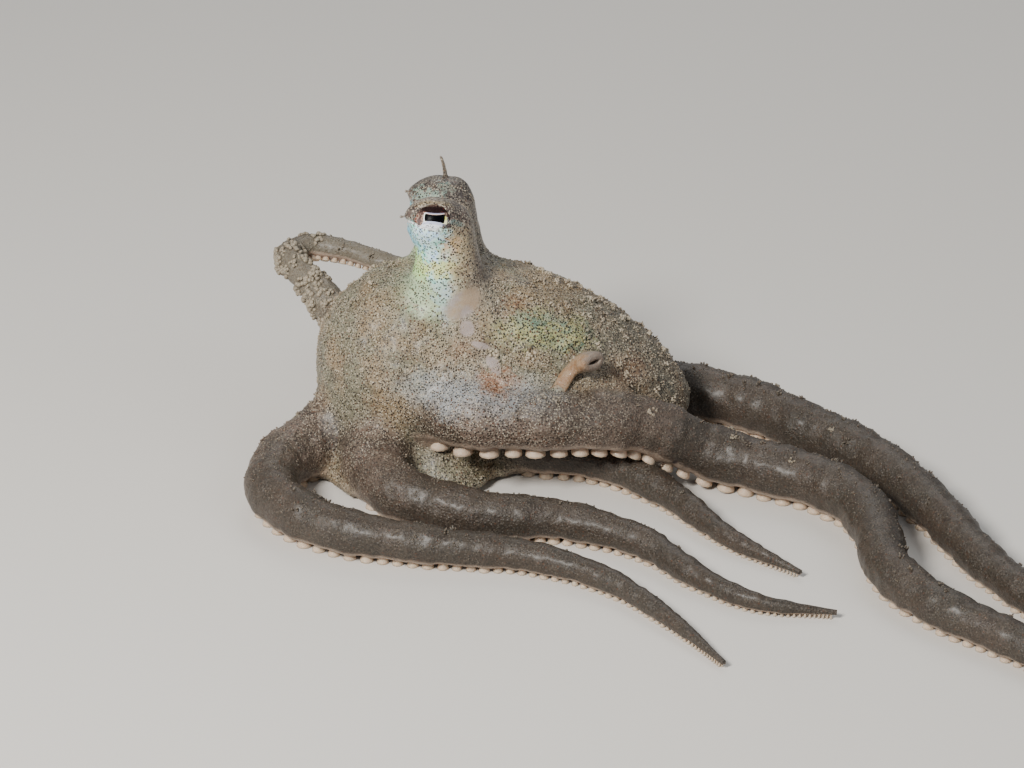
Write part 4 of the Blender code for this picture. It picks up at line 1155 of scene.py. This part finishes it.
def reachSkin(centre, way, reach, rounds, stride):
    # lengths from the centre along each way, moved by 0.9 of the skin's level there until they end on the skin
    for turn in range(rounds):
        spots = centre + way * reach[:, None]
        distance, ways, reached = skinParts(spots)
        reach = reach - np.clip(skinLevel(distance, ways, spots)[0], -stride, stride) * 0.9
    return reach


def browRow(side, top, count=40):
    # places along the crest of a stalk's cap, from its middle towards (2.1 cos, 0.80 sin inwards, 1.72 sin upwards)
    draw = np.random.default_rng(51)
    angle = np.radians(np.linspace(12, 168, count) + draw.normal(0, 1.0, count))
    centre = np.array((stalkForm["headX"], side * stalkForm["spread"], top - stalkForm["cap"]))
    way = unit(np.stack((2.1 * np.cos(angle), -side * 0.80 * np.sin(angle), 1.72 * np.sin(angle)), 1))
    return centre + way * reachSkin(centre, way, np.full(count, stalkForm["cap"]), 12, 0.3)[:, None], way


rows = [browRow(-1, stalkForm["topLeft"]), browRow(1, stalkForm["topRight"])]
crest, crestWays = (np.vstack([row[i] for row in rows]) for i in (0, 1))
size = looseness.uniform(0.035, 0.065, len(crest))
growBumps("papillaeBrow", (crest, crestWays, skinMarks(crest)), size, 0.6, 1.4, 6, paleFinish)


suckerForm = {
    "share": 0.30,       # radius by the arm's radius, and the least one
    "least": 0.07,
    "row": 0.40,         # distance from the arm's middle line, and pitch, both by the arm's radius
    "pitch": 0.34,
    "pitchLeast": 0.05,
    "first": 3.6,        # distance of the first from the root, and of the last from the tip
    "last": 0.25,
    "sunk": 0.45,        # height of the foot inside the arm
    "cupDepth": 0.62,
    "rim": 0.96,         # the profile above this rests on the floor under a lying arm
    "profile": [  # radius and height, then how far the place belongs to the cup
        (0.62, 0.0, 0), (0.66, 0.5, 0), (1.0, 0.84, 0), (1.04, 0.97, 0), (0.90, 1.0, 0.1), (0.66, 0.86, 0.7),
        (0.30, 0.66, 1)],
    "sides": 10,
}


def suckerFinish():
    # pale rims, a warmer cup
    m = Finish("sucker")
    place = m.place()
    cup = m.attribute("tip")
    base = m.mix(m.noise(place, 0.5, 3), (206, 186, 164), (184, 160, 138))
    colour = m.mix(m.step(cup, 0.55, 0.95), base, (150, 122, 100))
    m.set(Base_Color=colour, Roughness=0.42 + m.noise(place, 0.2, 2) * 0.1,
          Normal=m.bump(m.noise(place, 0.12, 2), 0.02))
    m.set(Subsurface_Weight=0.25, Subsurface_Radius=(1.0, 0.6, 0.4), Subsurface_Scale=0.5 * mm, Coat_Weight=0.1)
    return m.material


def makeSuckers():
    # two staggered rows of cups: the profile turned about the line from the sole to the mouth
    draw = np.random.default_rng(11)
    feet, mouths, sizes, flats, sides, aheads = [], [], [], [], [], []
    for arm in arms.values():
        places, at, left = [], suckerForm["first"], 1
        while at < arm["total"] - suckerForm["last"]:
            places.append((at, left))
            at += suckerForm["pitchLeast"] + suckerForm["pitch"] * np.interp(at, arm["at"], arm["radius"])
            left = -left
        at, left = np.array(places).T
        full, thin, stand = (np.interp(at, arm["at"], arm[key]) for key in ("full", "radius", "stand"))
        middle, side, up, forward = (np.stack([np.interp(at, arm["at"], arm[key][:, axis]) for axis in range(3)], 1)
                                     for key in ("middle", "side", "up", "forward"))
        row = (suckerForm["row"] * thin * left)[:, None]
        feet.append(middle + side * row * 0.75 - up * (thin * suckerForm["sunk"])[:, None])
        mouths.append(middle + side * row - up * (full * armForm["flat"] + stand)[:, None])
        sizes.append(np.maximum(suckerForm["least"], suckerForm["share"] * thin * draw.uniform(0.9, 1.1, len(at))))
        flats.append(np.interp(at, arm["at"], arm["lies"]) > 0.5)
        sides.append(side)
        aheads.append(forward)
    feet, mouths, side, ahead = (np.vstack(some) for some in (feet, mouths, sides, aheads))
    sizes, flats = np.concatenate(sizes), np.concatenate(flats)
    wide, high, cup = np.array(suckerForm["profile"]).T
    line = feet[:, None] + (mouths - feet)[:, None] * high[None, :, None]
    rings = ringsAbout(line, side, ahead, suckerForm["sides"], wide[None] * sizes[:, None])
    rests = flats[:, None, None] & (high > suckerForm["rim"])[None, :, None]
    rings[..., 2] = np.maximum(np.where(rests, 0.0, rings[..., 2]), 0.0)
    bottom = mouths - unit(mouths - feet) * (sizes * suckerForm["cupDepth"])[:, None]
    cup = np.concatenate((np.repeat(cup, suckerForm["sides"]), (0, 1)))
    mesh = manyForms("suckers", rings, feet, bottom, {"tip": np.tile(cup, len(feet))})
    print("suckers:", len(feet))
    addPiece("suckers", mesh, suckerFinish())


makeSuckers()


eyeLook = {  # screen colours, 0 to 255
    "pupil": (4, 4, 7), "rim": (250, 248, 246), "lavender": (196, 200, 226), "gold": (230, 232, 128),
    "brown": (92, 72, 66), "black": (27, 17, 18), "silver": (232, 236, 244), "granules": (190, 170, 148),
    "rust": (118, 46, 36), "rustDark": (74, 52, 50), "redCells": (92, 34, 30), "cream": (184, 154, 136),
    "corner": (88, 70, 66), "freckles": (22, 16, 18), "lowFreckles": (24, 20, 26), "bandEdge": (240, 214, 204),
    "band": (150, 154, 188), "goldLight": (248, 246, 196),
    "middle": (0.0, -0.012),   # of the pupil, level and upright
    "halfLong": 0.615,
    "half": 0.280,             # its half height, and how much that grows towards the tail
    "growth": 0.028,
    "topDip": 0.115,           # how far the edges bow in
    "lowDip": 0.018,
    "tilt": 4.5,
}


def eyeFinish(side):
    # a bar pupil dipped above, a pale rim round it with gold behind, dark above and speckled silver below
    m = Finish("eye " + ("left" if side < 0 else "right"))
    look = eyeLook
    place = m.place()
    level, upright = eyePlace(m, place, side)[:2]
    tilt = math.radians(look["tilt"])
    across, rise = level - look["middle"][0], upright - look["middle"][1]
    along = across * math.cos(tilt) - rise * math.sin(tilt)
    high = rise * math.cos(tilt) + across * math.sin(tilt)
    # gaps from the pupil's edges: above, below and at the ends, and the rounded greatest of them
    share = along / look["halfLong"]
    bow = (1 - share * share) | 0.0
    topGap = high - look["half"] - share * look["growth"] + bow * look["topDip"]
    lowGap = high * -1 - look["half"] - share * look["growth"] + bow * look["lowDip"]
    tall = high / look["half"]
    sideGap = abs(along) + (tall * tall).math("MINIMUM", 2.0) * 0.035 - 0.02
    edge = (topGap | lowGap).math("SMOOTH_MAX", sideGap - look["halfLong"], 0.10)
    grain = m.noise(place, 0.3, 4) - 0.5
    mosaic = m.parts(m.cells(place, 0.15, "Color"))[0] - 0.5
    colour = m.mix(m.step(upright + grain * 0.5 + mosaic * 0.2, -0.10, 0.14), look["silver"], look["brown"])
    colour = m.mix(m.step(level + grain * 0.3 + mosaic * 0.2, 0.72, 0.92), colour, look["brown"])
    # grey-brown with rust spots in cream rings ahead of the pupil
    cheek = m.steps((along + grain * 0.3, -0.62, -0.74), (high + grain * 0.4, 0.58, 0.40))
    colour = m.mix(cheek * 0.95, colour, look["corner"])
    rings = m.cells(place, 0.27) + grain * 0.15
    colour = m.mix(m.step(rings, 0.58, 0.48) * cheek * 0.85, colour, look["cream"])
    rust = m.mix(m.step(mosaic, -0.10, 0.10), look["rust"], look["rustDark"])
    colour = m.mix(m.step(rings, 0.40, 0.32) * cheek * 0.95, colour, rust)
    # pale granules and dark freckles
    pale = m.steps((m.cells(place, 0.12), 0.42, 0.22), (upright, 0.0, 0.2))
    colour = m.mix(pale * 0.45, colour, look["granules"])
    freckle = m.steps((m.cells(place, 0.19), 0.34, 0.24), (edge, 0.16, 0.26)) * (1 - cheek)
    colour = m.mix(freckle * 0.9, colour, look["freckles"])
    # the white band below, then the dark one above with red in it
    colour = m.mix(m.steps((lowGap, 0.0, 0.05), (sideGap - lowGap * 0.8, 0.74, 0.62)), colour, look["silver"])
    glow = m.steps((lowGap, 0.22, 0.12), (lowGap, -0.05, 0.02), (sideGap - lowGap * 0.6, 0.70, 0.60))
    colour = m.mix(glow, colour, look["lavender"])
    over = m.steps((topGap + along * along * 0.30, 0.72, 0.50), (topGap, 0.10, 0.14), (sideGap, 1.10, 0.85))
    tail = m.step(along, 0.73, 0.78)
    below = m.steps((sideGap, 0.90, 0.78), (along, 0.46, 0.56), (high, -0.30, -0.36), (high, -0.66, -0.54))
    red = m.steps((m.cells(place, 0.21), 0.34, 0.24), (along, 0.1, 0.6)) * 0.6
    colour = m.mix((over | (tail * 0.85 | below * 0.8)) * 0.95, colour, m.mix(red, look["black"], look["redCells"]))
    # two rows of dark freckles in the white below
    freckle = m.steps((m.cells(place, 0.105), 0.45, 0.32), (lowGap, 0.12, 0.16), (lowGap, 0.42, 0.36),
                      (sideGap, 0.78, 0.66))
    colour = m.mix(freckle * 0.85, colour, look["lowFreckles"])
    # a lavender band with a cream edge above the pupil, a thin white line ahead, a gold crescent behind
    above = m.steps((topGap + share * share * 0.03, 0.125, 0.085), (topGap, -0.02, 0.0), (sideGap, 0.64, 0.56))
    colour = m.mix(above, colour, m.mix(m.step(topGap, 0.030, 0.055), look["bandEdge"], look["band"]))
    colour = m.mix(m.steps((edge, 0.080, 0.050), (along, -0.44, -0.54)), colour, look["rim"])
    crescent = m.steps((edge + high * 0.22, 0.14, 0.11), (along, 0.46, 0.54), (high, 0.20, 0.12))
    crescent = crescent * m.step(lowGap + grain * 0.2, 0.04, 0.0)
    crescent = crescent * (1 - m.step(grain + mosaic * 0.3, 0.04, 0.12) * 0.6)
    colour = m.mix(crescent, colour, m.mix(m.step(high, -0.02, -0.14), look["gold"], look["goldLight"]))
    colour = m.mix(m.step(edge, 0.012, -0.012), colour, look["pupil"])
    m.set(Base_Color=colour, Roughness=0.34, Normal=m.bump(m.noise(place, 0.2, 2), 0.01))
    m.set(Coat_Weight=0.03, Coat_Roughness=0.03, Coat_IOR=1.30, Specular_IOR_Level=0.03, Subsurface_Weight=0.03,
          Subsurface_Scale=0.3 * mm)
    return m.material


def makeEye(side, label):
    # a ball about the look line
    centre, look, level, upright = eyes[side]
    polar = np.linspace(0.04, math.pi - 0.04, 44)[:, None, None]
    around = circle(60)[None, :, None]
    ring = level * np.cos(around) + upright * np.sin(around)
    grid = centre + eyeForm["radius"] * (look * np.cos(polar) + ring * np.sin(polar))
    points, quads, fans = closedGrid(grid, centre + look * eyeForm["radius"], centre - look * eyeForm["radius"])
    quads, fans = turnOut(points - centre, quads, fans)
    mesh = meshFrom("eye", points, quads, fans)
    addPiece("eye_" + label + "_ball", mesh, eyeFinish(side), ["eye_" + label])


lidForm = {
    "rows": [  # angle past the opening's edge, height over the ball there, and height over the skin further out
        (-0.020, -0.05, 0), (-0.045, 0.015, 0), (-0.035, 0.050, 0), (-0.005, 0.080, 0), (0.04, 0.095, 0),
        (0.09, 0.10, 0.02), (0.15, 0.10, 0.022), (0.22, 0.10, 0.02), (0.30, 0.10, 0.014), (0.38, 0.10, 0.004),
        (0.48, 0.10, -0.012), (0.60, 0.10, -0.05)],
    "under": [(0.55, 0.30), (0.12, 0.28)],      # angle and depth inside the ball of the rows that close it
    "white": (0.4, 0.9, 1.0, 0.8, 0.4),         # of the first rows, below the eye
    "heavy": 0.45,                              # extra height of the upper lid
}
lidFinish = makeSkin("lid skin", 0.05, (236, 234, 238), 0.7)


def stalkValues(count, stalkness, tip):
    # the marks of a piece that belongs to the stalk's skin
    ones = np.ones(count)
    return {"armness": 0 * ones, "stalkness": stalkness * ones, "share": 0 * ones, "lower": ones, "tip": tip}


def makeLids(side, label):
    # rows round the opening that rise from the ball to the skin and sink into it, closed underneath
    centre, look, level, upright = eyes[side]
    around = circle(128)
    edge = openingAngle(around)[:, None]
    ring = level * np.cos(around)[:, None] + upright * np.sin(around)[:, None]
    ball = eyeForm["radius"]
    heavy = 1 + lidForm["heavy"] * smoothStep(np.sin(around), 0.1, 0.8)
    grid = []
    for angle, overBall, overSkin in lidForm["rows"]:
        way = look * np.cos(edge + angle) + ring * np.sin(edge + angle)
        reach = reachSkin(centre, way, np.full(len(way), ball + eyeForm["lidOver"]), 10, 0.2)
        share = smoothStep(np.array(angle), 0.02, 0.20)
        radius = (ball + overBall * heavy) * (1 - share) + (reach + overSkin) * share
        grid.append(centre + way * radius[:, None])
    for angle, depth in lidForm["under"]:
        grid.append(centre + (look * np.cos(edge + angle) + ring * np.sin(edge + angle)) * (ball - depth))
    points = np.array(grid).reshape(-1, 3)
    quads, fans = turnOut(points - centre, gridQuads(len(grid), len(around), wrapRows=True))
    white = smoothStep(-np.sin(around), 0.30, 0.62) * (1 - smoothStep(np.cos(around), 0.2, 0.6))
    weights = np.zeros(len(grid))
    weights[:len(lidForm["white"])] = lidForm["white"]
    mesh = meshFrom("lids", points, quads, fans, stalkValues(len(points), 1, np.outer(weights, white).ravel()))
    addPiece("lids_" + label, mesh, lidFinish)


hornForm = {  # foot and tip of each thread of skin, radius, extra at the root, and swelling of the tip
    "left": {"foot": (2.3, -2.2, 17.95), "tip": (2.15, -2.2, 18.6), "radius": 0.10, "root": 0.14, "knob": 0.0},
    "right": {"foot": (2.30, 2.6, 17.45), "tip": (1.96, 2.6, 19.42), "radius": 0.125, "root": 0.34, "knob": 0.0},
    "cornerLeft": {"foot": (0.05, -2.93, 17.50), "tip": (-0.47, -2.98, 17.46), "radius": 0.07, "root": 0.06,
                   "knob": 0.035},
    "cornerRight": {"foot": (0.12, 2.93, 16.90), "tip": (-0.34, 2.98, 16.84), "radius": 0.07, "root": 0.06,
                    "knob": 0.035},
}


def makeThread(name, foot, tip, radius, root, knob, replaced=()):
    # radius + root exp(-s / 0.16) + knob at the tip, rounded off over the last tenth; its line bends late, as s³
    sides = 18
    s = np.linspace(0, 1, 30)[:, None, None]
    around = circle(sides)[None, :, None]
    wide = radius * (1 - 0.3 * s) + root * np.exp(-s / 0.16) + knob * smoothStep(s, 0.6, 0.85)
    wide = wide * (1 + 0.08 * np.sin(9 * s * math.pi + 2 * around))
    wide = wide * np.sqrt(1 - np.maximum(0, (s - 0.88) / 0.125) ** 2)
    foot, tip = np.array(foot), np.array(tip)
    run = tip - foot
    bend = np.array((0.8, 0.8, 0.0)) if abs(run[2]) > abs(run[0]) else np.zeros(3)
    line = foot + run * s * (1 - bend) + run * s ** 3 * bend
    way = unit(run)
    aside = unit(np.cross(way, (0.1, 1.0, 0.2)))
    across = np.cross(way, aside)
    points, quads, fans = closedGrid(line + (aside * np.cos(around) + across * np.sin(around)) * wide)
    quads, fans = turnOut(points - points.mean(0), quads, fans)
    pale = np.concatenate((np.repeat(s[:, 0, 0] * 0.4, sides), (0, 0.4)))
    mesh = meshFrom(name, points, quads, fans, stalkValues(len(points), 0.9, pale))
    addPiece(name, mesh, papillaFinish, replaced)


def makeHorn(side, label):
    # the thread over the eye, and a tiny knob at the front corner of the lids
    makeThread("horn_" + label + "_skin", **hornForm[label], replaced=["horn_" + label])
    makeThread("lid_papilla_" + label, **hornForm["corner" + label.title()])


funnelForm = {
    "start": (9.2, -6.9, 6.8),
    "bend": (10.3, -4.8, 8.65),
    "tip": (11.6, -6.1, 8.95),
    "radius": 0.46,
    "tipRadius": 0.80,
    "wide": 1.18,        # of its section, and how flat it is outside and in the slit of its mouth
    "flat": 0.74,
    "slit": 0.30,
    "mouth": [  # rows over the rim and back inside: place along the tube, radius share, and how far it is a slit
        (1.022, 0.95, 0.05), (1.040, 0.84, 0.35), (1.045, 0.66, 0.7), (1.035, 0.50, 1), (0.97, 0.44, 1),
        (0.85, 0.40, 1), (0.7, 0.34, 1)],
}


def funnelFinish(tip, bend):
    # the skin at its root, smooth and tan further along, pinkish at the end, with painted shade dark in the slit
    m = Finish("funnel skin")
    place = m.place()
    colour, height = skinColour(m)[:2]
    smooth = m.mix(m.step(m.noise(place, 0.45, 4), 0.38, 0.62), (154, 128, 102), (142, 108, 78))
    smooth = m.mix(m.step(m.noise(place, 0.3, 3), 0.58, 0.68) * 0.6, smooth, (170, 150, 134))
    end = m.step(m.parts(place)[0] + m.noise(place, 0.5, 3) * 1.2, 11.3, 12.0)
    smooth = m.mix(end, smooth, (130, 116, 105))
    bald = m.attribute("tip") + m.noise(place, 0.3, 3) * 0.8
    colour = m.mix(m.step(bald, 0.55, 0.95) * 0.9, colour, smooth)
    # painted shade: a dark blob just inside the mouth's slit
    slitShade = m.blob(place, tuple(tip - unit(tip - bend) * 0.42), (0.40, 0.40, 0.40), 0.35)
    colour = m.mix(slitShade * 0.9, colour, (44, 32, 26))
    m.set(Base_Color=colour, Roughness=0.50 + m.noise(place, 0.4, 2) * 0.1, Normal=m.bump(height, 0.05))
    m.set(Subsurface_Weight=0.25, Subsurface_Radius=(1.0, 0.65, 0.45), Subsurface_Scale=0.4 * mm, Coat_Weight=0.05)
    return m.material


def makeFunnel():
    # a bent tube on a quadratic path along the skin, widening to its end; past the rim the rows line a slit
    form = funnelForm
    start, bend, tip = (np.array(form[key]) for key in ("start", "bend", "tip"))
    around = circle(36)
    s = np.linspace(0, 1, 26)
    outside = form["radius"] + (form["tipRadius"] - form["radius"]) * smoothStep(s, 0.40, 0.85)
    within, narrow, slitness = np.array(form["mouth"]).T
    places = np.concatenate((s, within))
    widths = np.concatenate((outside, narrow * form["tipRadius"]))
    inner = start + (bend - start) * places[:, None]
    outer = bend + (tip - bend) * places[:, None]
    line = inner + (outer - inner) * places[:, None]
    forward = unit(outer - inner)
    side = unit(np.cross(forward, (0.0, 0.0, 1.0)))
    up = np.cross(side, forward)
    wave = 1 + 0.05 * np.sin(3 * around + 1)[None] * smoothStep(places, 0.7, 1.0)[:, None]
    flat = form["flat"] + (form["slit"] - form["flat"]) * np.concatenate((0 * s, slitness))
    ring = (form["wide"] * side[:, None] * np.cos(around)[None, :, None]
            + up[:, None] * (flat[:, None] * np.sin(around))[..., None])
    grid = line[:, None] + ring * (widths[:, None] * wave)[..., None]
    points, quads, fans = closedGrid(grid)
    quads, fans = turnOut(points - points.mean(0), quads, fans)
    along = np.concatenate((np.repeat(smoothStep(places, 0.0, 0.30), len(around)), (0, 1)))
    mesh = meshFrom("funnel", points, quads, fans, {"tip": along})
    addPiece("funnel_skin_tube", mesh, funnelFinish(tip, bend), ["funnel"])


for side, label in ((-1, "left"), (1, "right")):
    makeEye(side, label)
    makeLids(side, label)
    makeHorn(side, label)
makeFunnel()
print("head pieces made")


stageForm = {
    "floorTone": tone(214, 210, 204),
    "world": (0.88, 0.92, 0.96, 1.0),
    "worldStrength": 0.34,
    "lights": [  # place in mm, size in mm, watts, colour
        ((-90, -140, 145), 60, 0.68, (1.0, 0.97, 0.92)),
        ((190, -90, 170), 150, 0.10, (0.90, 0.95, 1.0)),
        ((20, 190, 200), 160, 0.16, (1.0, 0.98, 0.95)),
    ],
    "elevation": 25.0,
    "aim": (6.53, 0.0, 4.59),
    "distance": 194.133,
    "lens": 105.0,
    "sensor": 36.0,
    "floorReach": 900.0,
    "floorRoughness": 0.85,
}


def makeStage():
    # a plain floor, three soft lights that face the aim, and the camera at the photo's angle
    corners = stageForm["floorReach"] * np.array([(-1, -1, 0), (1, -1, 0), (1, 1, 0), (-1, 1, 0)])
    floor = addObject("floor", meshFrom("floor", corners, [(0, 1, 2, 3)]))
    m = Finish("floor")
    m.set(Base_Color=stageForm["floorTone"], Roughness=stageForm["floorRoughness"])
    floor.data.materials.append(m.material)
    aim = Vector(stageForm["aim"]) * mm
    for number, (place, size, watts, colour) in enumerate(stageForm["lights"]):
        light = bpy.data.lights.new(f"softLight{number}", "AREA")
        light.shape = "DISK"
        light.size = size * mm
        light.energy = watts
        light.color = colour
        lamp = addObject(light.name, light)
        lamp.location = Vector(place) * mm
        lamp.rotation_euler = (aim - lamp.location).to_track_quat("-Z", "Y").to_euler()
    world = bpy.data.worlds.new("softWorld")
    world.use_nodes = True
    sky = world.node_tree.nodes["Background"].inputs
    sky[0].default_value = stageForm["world"]
    sky[1].default_value = stageForm["worldStrength"]
    bpy.context.scene.world = world
    camera = addObject("camera", bpy.data.cameras.new("camera"))
    camera.data.lens = stageForm["lens"]
    camera.data.sensor_width = stageForm["sensor"]
    camera.data.clip_start = 0.005
    camera.data.clip_end = 10.0
    tilt = math.radians(stageForm["elevation"])
    back = Vector((0, -math.cos(tilt), math.sin(tilt)))
    camera.location = aim + back * stageForm["distance"] * mm
    camera.rotation_euler = (math.pi / 2 - tilt, 0, 0)
    bpy.context.scene.camera = camera


makeStage()
